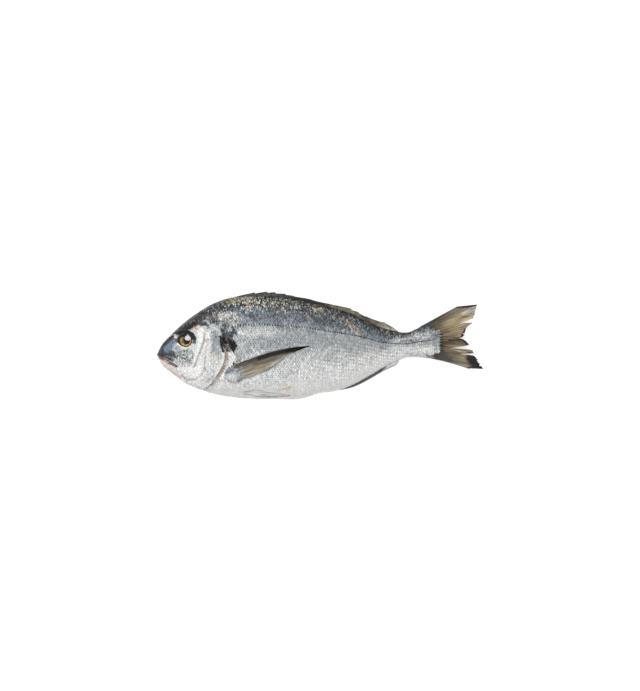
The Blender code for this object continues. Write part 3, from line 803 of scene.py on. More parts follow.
def makeLateralLine(side, word, material):
    # one dark pore on each scale of the lateral line
    pores = lateralPores
    x = np.concatenate([
        np.arange(pores["firstX"], pores["finerFrom"], pores["gap"]),
        np.arange(pores["finerFrom"], pores["endX"], pores["finerGap"]),
    ])
    angle = sideAngle(x, curveValue(bodyShape["lateralLine"], x), side)
    length, halfWidth, lean = (straightValue(pores[key], x) for key in ("length", "halfWidth", "lean"))
    points, faces, spread = plates(x, angle, side, length, halfWidth, {}, pores, lean=lean)
    return putOnFish("lateral_line_" + word, points, faces, material, spread)


# Fins

caudalFin = {
    "rootX": 243.0, "rays": 25, "fraySeed": 3, "columns": 460, "rows": 64,
    # share across the fin from its top edge, y at the root, then x and y of the tip; the tears run in
    "tips": [
        (0.00, 17.2, 277.0, 35.8), (0.06, 16.2, 296.0, 37.8), (0.09, 15.2, 294.8, 35.6),
        (0.16, 13.0, 294.6, 32.0), (0.24, 10.4, 291.8, 24.8),
        (0.28, 9.2, 278.5, 19.8), (0.32, 8.0, 291.6, 21.1),
        (0.36, 7.0, 285.0, 15.2), (0.44, 4.8, 283.4, 7.8), (0.47, 4.0, 279.0, 6.6),
        (0.50, 3.2, 283.0, 5.6), (0.58, 1.0, 289.0, 0.0), (0.61, 0.2, 268.0, -3.0),
        (0.65, -1.0, 290.8, -4.1), (0.70, -2.4, 293.6, -7.6), (0.73, -3.2, 280.0, -8.1),
        (0.77, -4.2, 294.1, -9.8), (0.86, -6.6, 297.2, -16.4), (0.94, -9.0, 300.9, -21.8),
        (1.00, -10.6, 287.0, -21.6),
    ],
    "marks": {
        "ink": [
            ([(276.0, 35.3), (286.0, 35.6), (292.0, 36.6), (296.0, 37.6)], 0.9, 0.9, 1.0),
            ([(285.4, 14.4), (283.6, 11.6), (282.0, 8.4)], 1.3, 1.6, 0.95),
            ([(280.6, 6.0), (283.6, 4.4), (286.4, 2.2)], 1.5, 1.6, 0.95),
            ([(270.0, 4.4), (280.0, 5.2)], 0.9, 1.6, 0.75),
            ([(262.0, 3.0), (275.0, 2.4)], 0.6, 1.2, 0.6),
            ([(262.5, 7.6), (277.0, 9.2)], 0.5, 1.2, 0.55),
            ([(261.5, -0.6), (268.0, -1.6)], 0.8, 1.4, 0.7),
            ([(285.0, 0.6), (289.0, -0.4)], 0.5, 0.8, 0.8),
            ([(288.0, -6.9), (293.6, -7.6)], 0.5, 0.8, 0.95),
            ([(289.4, -11.4), (291.6, -15.6), (294.4, -20.4)], 4.2, 7.0, 0.85),
            ([(292.4, -10.8), (294.6, -14.8), (297.6, -19.4)], 2.4, 5.0, 0.95),
            ([(261.0, -6.6), (266.0, -10.0), (271.0, -13.4)], 2.2, 5.0, 0.35),
            ([(293.6, -9.8), (295.8, -15.0), (299.6, -21.4)], 3.4, 3.4, 1.0),
            ([(288.0, -21.4), (294.0, -22.0), (300.9, -22.2)], 1.1, 1.0, 1.0),
        ],
        "slate": [
            ([(236.0, 12.6), (242.0, 16.0), (250.0, 20.0)], 2.8, 2.4, 0.95),
            ([(247.0, 19.4), (256.0, 24.6), (268.0, 31.4)], 0.8, 1.2, 0.7),
            ([(258.0, -11.0), (264.0, -12.0), (271.0, -14.0)], 2.0, 7.0, 0.5),
            ([(261.0, -5.0), (268.0, -9.0)], 2.4, 5.0, 0.5),
            ([(288.0, 29.4), (292.6, 28.6)], 0.9, 1.6, 0.5),
            ([(289.0, 33.0), (294.6, 34.0)], 0.5, 1.0, 0.5),
            ([(290.0, 31.4), (295.0, 31.0)], 0.4, 0.8, 0.4),
        ],
        "steel": [
            ([(260.2, -5.6), (260.2, 12.4)], 1.8, 0.8, 1.0),
            ([(253.0, -3.0), (253.0, 10.6)], 4.6, 1.0, 1.0),
            ([(248.0, -3.0), (248.0, 11.6)], 4.4, 1.0, 1.0),
            ([(289.4, 33.4), (293.0, 31.0), (290.4, 27.4)], 2.6, 5.0, 0.5),
            ([(246.0, -10.8), (254.0, -11.0)], 1.6, 8.0, 0.8),
        ],
        "pearl": [
            ([(271.0, -4.0), (280.0, -5.2)], 0.5, 1.2, 0.3),
            ([(284.0, 28.4), (289.0, 30.6), (293.0, 33.6)], 2.2, 5.0, 0.5),
        ],
    },
    "ramp": [
        (0.00, (0.040, 0.036, 0.032)), (0.05, (0.095, 0.08, 0.055)), (0.12, (0.175, 0.142, 0.085)),
        (0.24, (0.190, 0.150, 0.085)), (0.31, (0.135, 0.105, 0.06)), (0.40, (0.115, 0.085, 0.05)),
        (0.47, (0.060, 0.042, 0.026)), (0.58, (0.055, 0.040, 0.024)), (0.66, (0.095, 0.075, 0.042)),
        (0.75, (0.090, 0.071, 0.045)), (0.86, (0.11, 0.090, 0.058)), (1.00, (0.075, 0.070, 0.062)),
    ],
    # the lobes hang at slightly different heights, so each tear shows as a step too
    "lobes": [
        (0, 0.2), (0.27, 0.9), (0.29, -0.2), (0.46, 0.3), (0.48, -0.5), (0.60, -0.2), (0.62, 0.7),
        (0.72, 0.6), (0.74, -0.5), (1, 0.0),
    ],
    "rayTint": (0.20, 0.17, 0.11), "clearMost": 0.0, "rootShade": 0.62, "tipShade": 1.75, "streaks": 60.0,
}

dorsalFin = {
    "startX": 72.0, "endX": 223.0, "columns": 900, "rows": 16, "slope": 0.20,
    # the crest's height over the back: the folded spines' and rays' tips stand out as teeth
    "crest": [
        (72.0, 0.3), (84.0, 2.2), (89.9, 3.2), (90.6, 2.3), (101.2, 4.4), (102.2, 3.4), (108.8, 4.5),
        (109.8, 3.3), (117.8, 4.0), (119.0, 3.1), (125.4, 3.3), (127.0, 2.8), (140.0, 3.2), (148.0, 2.6),
        (160.0, 3.2), (170.0, 4.0), (178.8, 4.9), (179.8, 3.8), (185.7, 4.9), (186.6, 4.1),
        (191.5, 4.3), (193.0, 4.9), (207.0, 5.4), (210.0, 6.0), (211.0, 5.4), (217.0, 3.6), (223.0, 0.4),
    ],
    "ramp": [
        (0.00, (0.075, 0.068, 0.055)), (0.15, (0.085, 0.078, 0.062)), (0.28, (0.055, 0.050, 0.042)),
        (0.38, (0.018, 0.016, 0.017)), (0.54, (0.018, 0.017, 0.018)), (0.60, (0.13, 0.12, 0.08)),
        (0.72, (0.15, 0.135, 0.095)), (0.80, (0.055, 0.048, 0.04)), (0.88, (0.16, 0.14, 0.098)),
        (0.95, (0.33, 0.30, 0.22)), (1.00, (0.45, 0.42, 0.33)),
    ],
    "rayTint": (0.09, 0.08, 0.065), "clearMost": 0.0, "rootShade": 1.0, "tipShade": 1.0, "streaks": 70.0,
}

analFin = {
    "startX": 168.0, "endX": 223.0, "columns": 300, "rows": 14,
    "height": [
        (168.0, 0.4), (180.0, 2.4), (192.0, 3.4), (206.0, 3.5), (216.0, 4.0), (221.0, 3.7), (223.0, 2.0),
    ],
    "ramp": [
        (0.00, (0.045, 0.045, 0.047)), (0.40, (0.07, 0.07, 0.072)), (0.62, (0.24, 0.24, 0.24)),
        (0.80, (0.44, 0.44, 0.43)), (1.00, (0.58, 0.58, 0.57)),
    ],
    "rayTint": (0.14, 0.14, 0.14), "clearMost": 0.0, "rootShade": 1.0, "tipShade": 1.0, "streaks": 12.0,
}

pectoralFin = {
    "upper": [
        (72.0, -18.0), (80.0, -14.9), (88.0, -12.0), (106.0, -6.1), (117.0, -3.5), (127.0, -1.9),
        (140.5, -0.6),
    ],
    "lower": [
        (72.0, -32.0), (81.0, -31.6), (90.4, -28.1), (107.8, -20.6), (119.0, -11.3), (130.0, -5.0),
        (140.5, -1.0),
    ],
    "rays": 15, "lift": 0.75, "columns": 170, "rows": 120,
    "marks": {
        "ink": [
            ([(94.0, -11.6), (106.0, -8.0), (114.0, -6.2), (122.0, -4.8), (130.0, -3.4)], 2.4, 5.2, 0.95),
            ([(86.0, -14.4), (94.0, -12.4)], 1.2, 4.0, 0.5),
            ([(76.0, -16.6), (84.0, -14.0), (92.0, -11.4)], 0.6, 1.6, 0.55),
            ([(122.0, -4.6), (132.0, -2.8), (140.5, -0.8)], 1.5, 2.4, 0.95),
            ([(90.0, -17.6), (103.0, -14.6), (115.0, -11.0)], 1.6, 5.6, 0.5),
            # painted shadow under the fleshy root of the fin
            ([(76.0, -29.5), (79.5, -32.5)], 1.3, 2.0, 0.45),
        ],
        "slate": [([(77.0, -18.0), (84.0, -16.0), (91.0, -14.6)], 1.2, 3.6, 0.4)],
        "steel": [([(78.0, -20.0), (79.4, -26.0), (77.8, -31.0)], 1.7, 4.0, 0.55)],
        "pearl": [([(106.0, -17.4), (114.0, -12.6), (124.0, -7.6)], 1.6, 4.5, 0.42)],
    },
    "ramp": [
        (0.00, (0.05, 0.042, 0.036)), (0.22, (0.075, 0.064, 0.052)), (0.42, (0.18, 0.152, 0.112)),
        (0.66, (0.27, 0.235, 0.165)), (0.86, (0.33, 0.31, 0.265)), (1.00, (0.40, 0.39, 0.365)),
    ],
    "rayTint": (0.26, 0.225, 0.16), "clearMost": 0.95, "rootShade": 1.0, "tipShade": 1.0, "streaks": 17.0,
}

pelvicFin = {
    "upper": [(80.0, -42.6), (92.0, -41.6), (108.0, -43.5), (124.0, -46.2)],
    "lower": [(80.0, -44.6), (92.0, -47.0), (108.0, -47.8), (124.0, -46.6)],
    "rays": 6, "lift": 0.25, "columns": 70, "rows": 70,
    "marks": {"slate": [([(96.0, -47.6), (112.0, -47.8), (123.0, -46.6)], 0.5, 0.8, 0.6)]},
    "ramp": [(0.0, (0.42, 0.42, 0.41)), (0.6, (0.50, 0.49, 0.48)), (1.0, (0.34, 0.34, 0.34))],
    "rayTint": (0.58, 0.57, 0.55), "clearMost": 0.5, "rootShade": 1.0, "tipShade": 1.0, "streaks": 8.0,
}

gillRim = {
    "columns": 110, "rows": 12, "fromAngle": 1.30, "toAngle": 2.72,
    "wide": 5.2, "deep": 0.62, "restLevel": 0.2,
    # the ramp is darkest where the rim comes out from under the gill cover: painted shade of the cover
    "ramp": [
        (0.0, (0.03, 0.022, 0.018)), (0.36, (0.12, 0.085, 0.055)), (0.62, (0.28, 0.21, 0.145)),
        (0.85, (0.36, 0.29, 0.22)), (1.0, (0.22, 0.18, 0.15)),
    ],
    "rayTint": (0.2, 0.15, 0.12), "clearMost": 0.0, "rootShade": 1.0, "tipShade": 1.0, "streaks": 5.0,
}


def finMarks(x, y, strokes, ray, ramp, reach, clear=None):
    marks = {name: painted(x, y, strokes.get(name, [])) for name in ("pearl", "steel", "slate", "ink")}
    marks.update({"ray": ray, "ramp": ramp, "reach": reach, "clear": 0 * ray if clear is None else clear})
    return marks


def ridges(u, v, rays, forkAt=0.35):
    # fin rays that fork towards the edge: a ridge profile from 0 in the membrane to 1 on a ray
    single = 0.5 + 0.5 * np.cos(2 * math.pi * u * rays)
    double = 0.5 + 0.5 * np.cos(4 * math.pi * u * rays + math.pi)
    fork = smoothStep(forkAt, forkAt + 0.25, v)
    return (single * (1 - fork) + double * fork) ** 1.6


def makeCaudal(material):
    fin = caudalFin
    u, v = unitGrid(fin["columns"], fin["rows"])
    table = np.array(fin["tips"])
    rootY, tipX, tipY = (np.interp(u, table[:, 0], table[:, k]) for k in (1, 2, 3))
    jag = np.random.default_rng(fin["fraySeed"]).normal(0, 1, 90)
    fray = 1.0 + 0.014 * np.interp(u * 88, np.arange(90), jag) * v**3 * smoothStep(0.05, 0.2, u)
    x = fin["rootX"] + (tipX - fin["rootX"]) * v * fray
    y = rootY + (tipY - rootY) * v * fray
    # the lower edge is hollow
    y = y + 1.2 * np.sin(math.pi * v) * smoothStep(0.75, 1.0, u)
    ridge = ridges(u, v, fin["rays"])
    wave = 0.5 * np.sin(u * 11.0 + 1.0) * v**1.5 + straightValue(fin["lobes"], u) * smoothStep(0.45, 1.0, v)
    middle = np.stack([x, y, spineHeight(x) + wave], -1)
    normal = np.broadcast_to(np.array([0.11, 0.0, 0.99]), middle.shape)
    half = 0.12 + 1.0 * (1 - v) ** 3 + ridge * (0.32 - 0.20 * v)
    # painted shade in the gaps between the last scales, on the fin's root
    levels = np.arange(-5.0, 10.1, 2.5)
    gapShade = [([(261.0, level), (264.4, level - 0.2)], 0.5, 0.8, 0.85) for level in levels]
    strokes = dict(fin["marks"], ink=fin["marks"]["ink"] + gapShade)
    warp = 0.5 * grainAt(middle.reshape(-1, 3), 2.0).reshape(x.shape)
    marks = finMarks(x, y + warp, strokes, ridge, u, v)
    marks["steel"] = painted(x + 2.4 * tailTeeth(y), y, strokes["steel"])
    return closedSheet("caudal_fin", middle, normal, half, material, marks)


def makeDorsal(material):
    fin = dorsalFin
    u, v = unitGrid(fin["columns"], fin["rows"])
    x = fin["startX"] + (fin["endX"] - fin["startX"]) * u
    back = curveValue(bodyShape["stations"], x, 1)
    crest = straightValue(fin["crest"], x)
    y = back - 3.0 + (crest + 3.0) * v
    over = y - back
    pitch = np.where(x < 160.0, 7.5, 4.0)
    slant = (x - over / fin["slope"]) / pitch
    ridge = (0.5 + 0.5 * np.cos(2 * math.pi * slant)) ** 2
    lean = 0.25 * over + 0.35 * np.sin(x * 0.21) + 0.3 * ridge
    middle = np.stack([x, y, spineHeight(x) + lean], -1)
    normal = np.broadcast_to(np.array([0.0, -0.2, 0.98]), middle.shape)
    half = 0.15 + 0.9 * (1 - v) ** 2 + 0.5 * ridge * (1 - 0.6 * v)
    outline = np.maximum(1 - smoothStep(0.25, 0.9, crest - over), 1 - smoothStep(0.2, 0.8, np.abs(over)))
    marks = finMarks(x, y, {}, ridge, u, v)
    marks["slate"] = 0.85 * outline * smoothStep(-0.2, 0.4, over + 0.6)
    return closedSheet("dorsal_fin", middle, normal, half, material, marks)


def makeAnal(material):
    fin = analFin
    u, v = unitGrid(fin["columns"], fin["rows"])
    x = fin["startX"] + (fin["endX"] - fin["startX"]) * u
    belly = curveValue(bodyShape["stations"], x, 2)
    reach = curveValue(fin["height"], x)
    y = belly + 2.2 - (reach + 2.2) * v
    slant = (x - (belly - y) / 0.2) / 3.6
    ridge = (0.5 + 0.5 * np.cos(2 * math.pi * slant)) ** 3
    middle = np.stack([x, y, spineHeight(x) + 0.25 * (belly - y)], -1)
    normal = np.broadcast_to(np.array([0.0, 0.1, 0.99]), middle.shape)
    half = 0.15 + 0.5 * (1 - v) ** 2 + 0.35 * ridge * (1 - 0.6 * v)
    # dark along the body, paler at the rays' tips and at the rear
    past = np.clip((belly - y) / np.maximum(reach, 0.5), 0, 1)
    rear = smoothStep(205.0, 213.0, x)
    colourRun = 0.62 * smoothStep(0.45, 1.0, past) + rear * (0.66 + 0.3 * past)
    marks = finMarks(x, y, {}, ridge, np.clip(colourRun, 0, 1), v)
    return closedSheet("anal_fin", middle, normal, half, material, marks)


def foldedFin(name, fin, side, material):
    # a fin folded back on the flank: u from its upper to its lower edge, v from its root to its tip
    u, v = unitGrid(fin["columns"], fin["rows"])
    startX, endX = fin["upper"][0][0], fin["upper"][-1][0]
    x = startX + (endX - startX) * v
    top, low = curveValue(fin["upper"], x), curveValue(fin["lower"], x)
    y = top + (low - top) * u
    ridge = ridges(u + 0.02 * np.sin(v * 9), v, fin["rays"], 0.5)
    arch = 0.4 + 0.8 * np.sin(math.pi * np.clip(v * 1.1, 0, 1))
    pleat = 0.28 * np.sin(u * 2 * math.pi * 2.5 + 0.6) * (1 - v) * smoothStep(0.0, 0.15, v)
    edgeDown = 0.35 * smoothStep(0.75, 1.0, u)
    z = flankHeight(x, y, side) + side * (fin["lift"] * arch + pleat + 0.35 - edgeDown)
    middle = np.stack([x, y, z], -1)
    normal = np.cross(np.gradient(middle, axis=1), np.gradient(middle, axis=0))
    normal /= np.maximum(np.linalg.norm(normal, axis=-1, keepdims=True), 1e-9)
    normal *= np.where(normal[..., 2:] < 0, -1.0, 1.0)
    half = 0.10 + 0.25 * (1 - v) + ridge * 0.22
    middle[..., 2] += np.maximum(0.0, half - middle[..., 2])
    warp = 0.7 * grainAt(middle.reshape(-1, 3) * np.array([0.25, 1.0, 1.0]), 1.2).reshape(x.shape)
    clear = smoothStep(0.30, 0.80, u) * smoothStep(0.22, 0.50, v) * (0.6 + 0.4 * (1 - ridge))
    clear = np.maximum(clear, smoothStep(0.80, 1.0, u) * smoothStep(0.10, 0.40, v))
    marks = finMarks(x, y + warp, fin["marks"], ridge, u, v, clear)
    marks["clear"] = marks["clear"] * (1 - marks["ink"])
    return closedSheet(name, middle, normal, half, material, marks)


def makeGillRim(side, word, material):
    # the soft rim that shows behind the gill cover
    columns, rows = gillRim["columns"], gillRim["rows"]
    angles = np.linspace(gillRim["fromAngle"], gillRim["toAngle"], columns) * side
    edge = edgeX(angles)
    u, v = unitGrid(columns, rows)
    # it narrows at both ends and behind the cover's upper half
    taper = np.sin(math.pi * np.clip(u, 0.02, 0.98)) ** 0.22
    level = skinPoint(edge, angles)[:, None, 1]
    taper = taper * (1.0 - 0.42 * smoothStep(-9.0, 3.0, level))
    x = edge[:, None] - 1.6 + gillRim["wide"] * (0.75 + 0.12 * np.sin(u * 23)) * v * taper
    a = np.broadcast_to(angles[:, None], x.shape)
    normal = skinNormal(np.broadcast_to(edge[:, None], x.shape) - 1.5, a)
    cover = skinPoint(np.broadcast_to(edge[:, None], x.shape) - 0.3, a)
    cover[..., 0] = x
    middle = cover - normal * (gillRim["deep"] + 0.25 * v[..., None])
    middle[..., 2] = np.maximum(middle[..., 2], gillRim["restLevel"])
    half = 0.10 + 0.08 * (1 - v)
    marks = finMarks(x, middle[..., 1], {}, 0 * u, v, v)
    marks["slate"] = 0.6 * smoothStep(-8.0, 2.0, middle[..., 1])
    return closedSheet("gill_rim_" + word, middle, normal, half, material, marks)


# Eyes and the pectoral fins' fleshy roots

def makeEye(side, word, material):
    # the ball is one mesh: the pupil, the golden iris and a pale patch on the pupil, partly its clouded lens
    # and partly a painted reflection of the light, are marks on it
    rings, segments = eyeShape["rings"], eyeShape["segments"]
    centre = np.array([eyeShape["x"], eyeShape["y"], 0.0])
    centre[2] = float(flankHeight(eyeShape["x"], eyeShape["y"], side)) - side * eyeShape["sunk"]
    polar = np.linspace(0.0, 1.35, rings)[1:]
    turn = np.arange(segments) / segments * 2 * math.pi
    p, t = np.meshgrid(polar, turn, indexing="ij")
    away = eyeShape["radius"] * np.sin(p)
    x, y = away * np.cos(t), away * np.sin(t)
    fromPupil = np.hypot(x + eyeShape["x"] - eyeShape["pupilX"], y + eyeShape["y"] - eyeShape["pupilY"])
    rimOfPupil = 0.22 * np.exp(-(((fromPupil - eyeShape["pupil"]) / 0.5) ** 2))
    dome = eyeShape["radius"] * np.cos(p) - rimOfPupil
    points = np.stack([x, y, side * dome], -1).reshape(-1, 3) + centre
    poles = [centre + [0, 0, side * eyeShape["radius"]], centre - [0, 0, side * 1.0]]
    points = np.concatenate([points, poles])
    faces = tubeFaces(rings - 1, segments, side)
    x, y = points[:, 0], points[:, 1]
    marks = {
        "radial": np.hypot(x - centre[0], y - centre[1]) / eyeShape["iris"],
        "pupil": np.hypot(x - eyeShape["pupilX"], y - eyeShape["pupilY"]) / eyeShape["pupil"],
        "upward": (y - centre[1]) / eyeShape["iris"],
        "cloud": painted(x, y, eyeShape["cloud"]),
    }
    return putOnFish("eye_" + word, points, faces, material, marks)


finRoot = {
    "x": 71.6, "y": -26.8, "radiusX": 11.4, "radiusY": 10.4, "height": 2.0, "rings": 30, "segments": 90,
    "restLevel": 0.19,
    "slate": [
        ([(66.0, -21.0), (71.0, -19.4), (76.0, -20.0)], 1.2, 3.0, 0.4),
        # painted shadow under the root's lower rear side
        ([(75.0, -33.4), (79.0, -31.6)], 1.4, 2.6, 0.6),
    ],
    "steel": [
        ([(63.0, -23.6), (70.0, -21.6), (77.0, -21.8)], 3.2, 3.6, 0.8),
        ([(78.2, -24.0), (79.0, -28.0), (77.0, -32.0)], 2.4, 3.0, 0.95),
        ([(70.0, -33.0), (74.0, -33.0)], 1.2, 3.6, 0.3),
    ],
    "azure": [
        ([(64.0, -24.6), (70.0, -22.6), (75.0, -23.6)], 2.0, 3.6, 0.5),
        ([(78.6, -25.0), (78.6, -30.0)], 1.6, 3.0, 0.4),
    ],
    "pearl": [([(67.0, -27.6), (71.0, -29.4)], 3.0, 4.0, 0.9)],
}


rootCoat = {
    "columns": 17, "rows": 17, "firstX": finRoot["x"] - 10.4, "firstY": finRoot["y"] - 9.8,
    "gap": 1.35, "squeeze": 0.92, "length": 2.3, "halfWidth": 0.82,
    "sunk": -0.1, "lift": 0.14, "crown": 0.08, "ground": 0.0, "bareX": 1.6, "bareY": 1.4,
}


def rootShare(x, y, bareX=0.0, bareY=0.0):
    # 0 in the middle of the root, 1 at its rim, squared
    across = (x - finRoot["x"]) / (finRoot["radiusX"] - bareX)
    up = (y - finRoot["y"]) / (finRoot["radiusY"] - bareY)
    return across**2 + up**2


def rootBump(points):
    share = rootShare(points[..., 0], points[..., 1])
    inside = np.clip(1 - share, 0, 1)
    return finRoot["height"] * inside**1.3 - 0.5 * np.clip(share, 0, 1) ** 2 - 0.1


def rootPaint(x, y, height):
    marks = {word: painted(x, y, finRoot.get(word, [])) for word in (*skinMarks, "moss", "grooveShade")}
    marks["height"] = 0 * x + height
    return marks


def makeFinRoot(side, word, skin, scales):
    rings, segments = finRoot["rings"], finRoot["segments"]
    spread = np.linspace(0, 1, rings)[1:]
    r, t = np.meshgrid(spread, np.arange(segments) / segments * 2 * math.pi, indexing="ij")
    x = finRoot["x"] + finRoot["radiusX"] * r * np.cos(t)
    y = finRoot["y"] + finRoot["radiusY"] * r * np.sin(t)
    z = flankHeight(x, y, side) + side * rootBump(np.stack([x, y], -1))
    points = np.stack([x, y, np.maximum(z, finRoot["restLevel"])], -1).reshape(-1, 3)
    middle = float(flankHeight(np.array(finRoot["x"]), np.array(finRoot["y"]), side))
    top = max(middle + side * (finRoot["height"] - 0.1), finRoot["restLevel"])
    poles = [[finRoot["x"], finRoot["y"], top], [finRoot["x"], finRoot["y"], middle - side * 3.0]]
    points = np.concatenate([points, poles])
    faces = tubeFaces(rings - 1, segments, side)
    putOnFish("fin_root_" + word, points, faces, skin, rootPaint(points[:, 0], points[:, 1], -0.5))
    # small scales that cover it
    x, y = scalePatch(rootCoat)
    near = rootShare(x, y, rootCoat["bareX"], rootCoat["bareY"]) < 1
    x, y = x[near], y[near]
    marks = rootPaint(x, y, -0.45)
    marks["place"] = 0 * x + 0.3
    makeSmallScales("fin_root_scales_" + word, side, x, y, marks, rootCoat, scales, rootBump)


# Materials

def addNode(tree, kind, inputs=None, **settings):
    made = tree.nodes.new(kind)
    for key, value in settings.items():
        setattr(made, key, value)
    for name, value in (inputs or {}).items():
        socket = made.inputs[name]
        if isinstance(value, bpy.types.NodeSocket):
            tree.links.new(value, socket)
        else:
            socket.default_value = value
    return made


def newMaterial(name, **values):
    material = bpy.data.materials.new(name)
    material.use_nodes = True
    tree = material.node_tree
    shader = tree.nodes["Principled BSDF"]
    for key, value in values.items():
        shader.inputs[key.replace("_", " ")].default_value = value
    return material, tree, shader


def mark(tree, name):
    return addNode(tree, "ShaderNodeAttribute", attribute_name=name).outputs["Fac"]


def maths(tree, operation, a, b=0.0):
    return addNode(tree, "ShaderNodeMath", {0: a, 1: b}, operation=operation).outputs[0]


def times(tree, a, b):
    return maths(tree, "MULTIPLY", a, b)


def plus(tree, a, b):
    return maths(tree, "ADD", a, b)


def rest(tree, share):
    return maths(tree, "SUBTRACT", 1.0, share)


def swing(tree, cloud, amount):
    # a value of 0 to 1 as a change up and down from nothing
    return times(tree, maths(tree, "SUBTRACT", cloud, 0.5), amount)


def above(tree, value, level):
    return maths(tree, "GREATER_THAN", value, level)


def mixed(tree, factor, a, b, blend="MIX"):
    made = addNode(tree, "ShaderNodeMix", data_type="RGBA", blend_type=blend)
    for index, value in ((0, factor), (6, a), (7, b)):
        if isinstance(value, bpy.types.NodeSocket):
            tree.links.new(value, made.inputs[index])
        else:
            made.inputs[index].default_value = value if index == 0 else (*value, 1.0)
    return made.outputs[2]


def shaded(tree, colour, shade):
    # a colour made lighter or darker by a factor
    grey = addNode(tree, "ShaderNodeCombineColor", {0: shade, 1: shade, 2: shade}).outputs[0]
    return mixed(tree, 1.0, colour, grey, "MULTIPLY")


def ramped(tree, factor, stops):
    made = addNode(tree, "ShaderNodeValToRGB", {"Fac": factor})
    while len(made.color_ramp.elements) < len(stops):
        made.color_ramp.elements.new(0.5)
    for element, (place, colour) in zip(made.color_ramp.elements, stops):
        element.position = place
        element.color = (*colour, 1.0)
    return made.outputs["Color"]


def remapped(tree, value, low, high, newLow=0.0, newHigh=1.0):
    ends = {1: low, 2: high, 3: newLow, 4: newHigh}
    return addNode(tree, "ShaderNodeMapRange", {0: value, **ends}).outputs[0]


def cloudNoise(tree, place, scale, detail=3.0, **more):
    inputs = {"Vector": place, "Scale": scale, "Detail": detail, **more}
    return addNode(tree, "ShaderNodeTexNoise", inputs).outputs["Fac"]


def newGroup(name, ins, outs):
    # ins gives each input's first value, outs each output's kind
    group = bpy.data.node_groups.new(name, "ShaderNodeTree")
    for socket, value in ins.items():
        kind = "NodeSocketColor" if isinstance(value, tuple) else "NodeSocketFloat"
        made = group.interface.new_socket(name=socket, in_out="INPUT", socket_type=kind)
        made.default_value = value
    for socket, kind in outs.items():
        group.interface.new_socket(name=socket, in_out="OUTPUT", socket_type="NodeSocket" + kind)
    return group, group.nodes.new("NodeGroupInput").outputs, group.nodes.new("NodeGroupOutput").inputs


def placeGroup(tree, group, **values):
    made = addNode(tree, "ShaderNodeGroup", node_tree=group)
    for key, value in values.items():
        socket = made.inputs[key.replace("_", " ")]
        if isinstance(value, bpy.types.NodeSocket):
            tree.links.new(value, socket)
        else:
            socket.default_value = value
    return made.outputs


def makeMottleGroup():
    # soft blotches and fine grain, sized in millimetres
    ins = {"Blotch size": 6.0, "Grain size": 0.8, "Stretch": 1.0}
    group, given, out = newGroup("mottle", ins, {"Blotch": "Float", "Grain": "Float"})
    place = addNode(group, "ShaderNodeTexCoord").outputs["Object"]
    parts = addNode(group, "ShaderNodeSeparateXYZ", {0: place}).outputs
    long = maths(group, "DIVIDE", parts[0], given["Stretch"])
    squeezed = addNode(group, "ShaderNodeCombineXYZ", {"X": long, "Y": parts[1], "Z": parts[2]}).outputs[0]
    for size, output, detail in (("Blotch size", "Blotch", 3.0), ("Grain size", "Grain", 2.0)):
        scale = maths(group, "DIVIDE", 1000.0, given[size])
        group.links.new(cloudNoise(group, squeezed, scale, detail, Roughness=0.6), out[output])
    return group


def makeSparkleGroup():
    # three random numbers for each small cell of the skin, sized in millimetres
    ins = {"Cell width": 1.0, "Cell height": 1.8}
    group, given, out = newGroup("sparkle", ins, {"First": "Float", "Second": "Float", "Third": "Float"})
    place = addNode(group, "ShaderNodeTexCoord").outputs["Object"]
    parts = addNode(group, "ShaderNodeSeparateXYZ", {0: place}).outputs
    wide = maths(group, "DIVIDE", times(group, parts[0], 1000.0), given["Cell width"])
    high = maths(group, "DIVIDE", times(group, parts[1], 1000.0), given["Cell height"])
    deep = times(group, parts[2], 500.0)
    squeezed = addNode(group, "ShaderNodeCombineXYZ", {"X": wide, "Y": high, "Z": deep}).outputs[0]
    cells = addNode(group, "ShaderNodeTexVoronoi", {"Vector": squeezed, "Scale": 1.0}).outputs["Color"]
    parts = addNode(group, "ShaderNodeSeparateColor", {0: cells}).outputs
    for output, part in zip(("First", "Second", "Third"), parts):
        group.links.new(part, out[output])
    return group


def makeSlimeGroup():
    # wet skin: uneven gloss and a fine bump
    ins = {"Gloss": 0.35, "Unevenness": 0.12, "Bump size": 0.9, "Bump height": 0.1}
    group, given, out = newGroup("wetSlime", ins, {"Roughness": "Float", "Normal": "Vector"})
    place = addNode(group, "ShaderNodeTexCoord").outputs["Object"]
    spread = times(group, swing(group, cloudNoise(group, place, 160.0), given["Unevenness"]), 3.0)
    group.links.new(plus(group, given["Gloss"], spread), out["Roughness"])
    fine = cloudNoise(group, place, maths(group, "DIVIDE", 1000.0, given["Bump size"]))
    rise = {"Height": fine, "Strength": given["Bump height"], "Distance": 0.0004}
    group.links.new(addNode(group, "ShaderNodeBump", rise).outputs["Normal"], out["Normal"])
    return group


markTints = {
    "pearl": (0.64, 0.64, 0.63), "steel": (0.25, 0.275, 0.295), "slate": (0.040, 0.048, 0.057),
    "gold": (0.45, 0.34, 0.16), "rose": (0.56, 0.485, 0.45), "creaseShadow": (0.20, 0.195, 0.19),
    "azure": (0.135, 0.178, 0.235), "umber": (0.115, 0.075, 0.062),
    "moss": (0.055, 0.07, 0.065), "ink": (0.009, 0.008, 0.008),
}


def makePaintGroup(name, marks):
    # lays painted marks over a base colour; where a mark is weak it shows on the grain only
    ins = {"Base": (0.5, 0.5, 0.5, 1.0), "Grain": 0.5}
    group, given, out = newGroup(name, ins, {"Colour": "Color"})
    colour = given["Base"]
    grain = remapped(group, given["Grain"], 0.36, 0.62, 0.32, 0.68)
    for word in marks:
        cover = remapped(group, plus(group, mark(group, word), grain), 0.68, 1.32)
        colour = mixed(group, cover, colour, markTints[word])
    group.links.new(colour, out["Colour"])
    return group


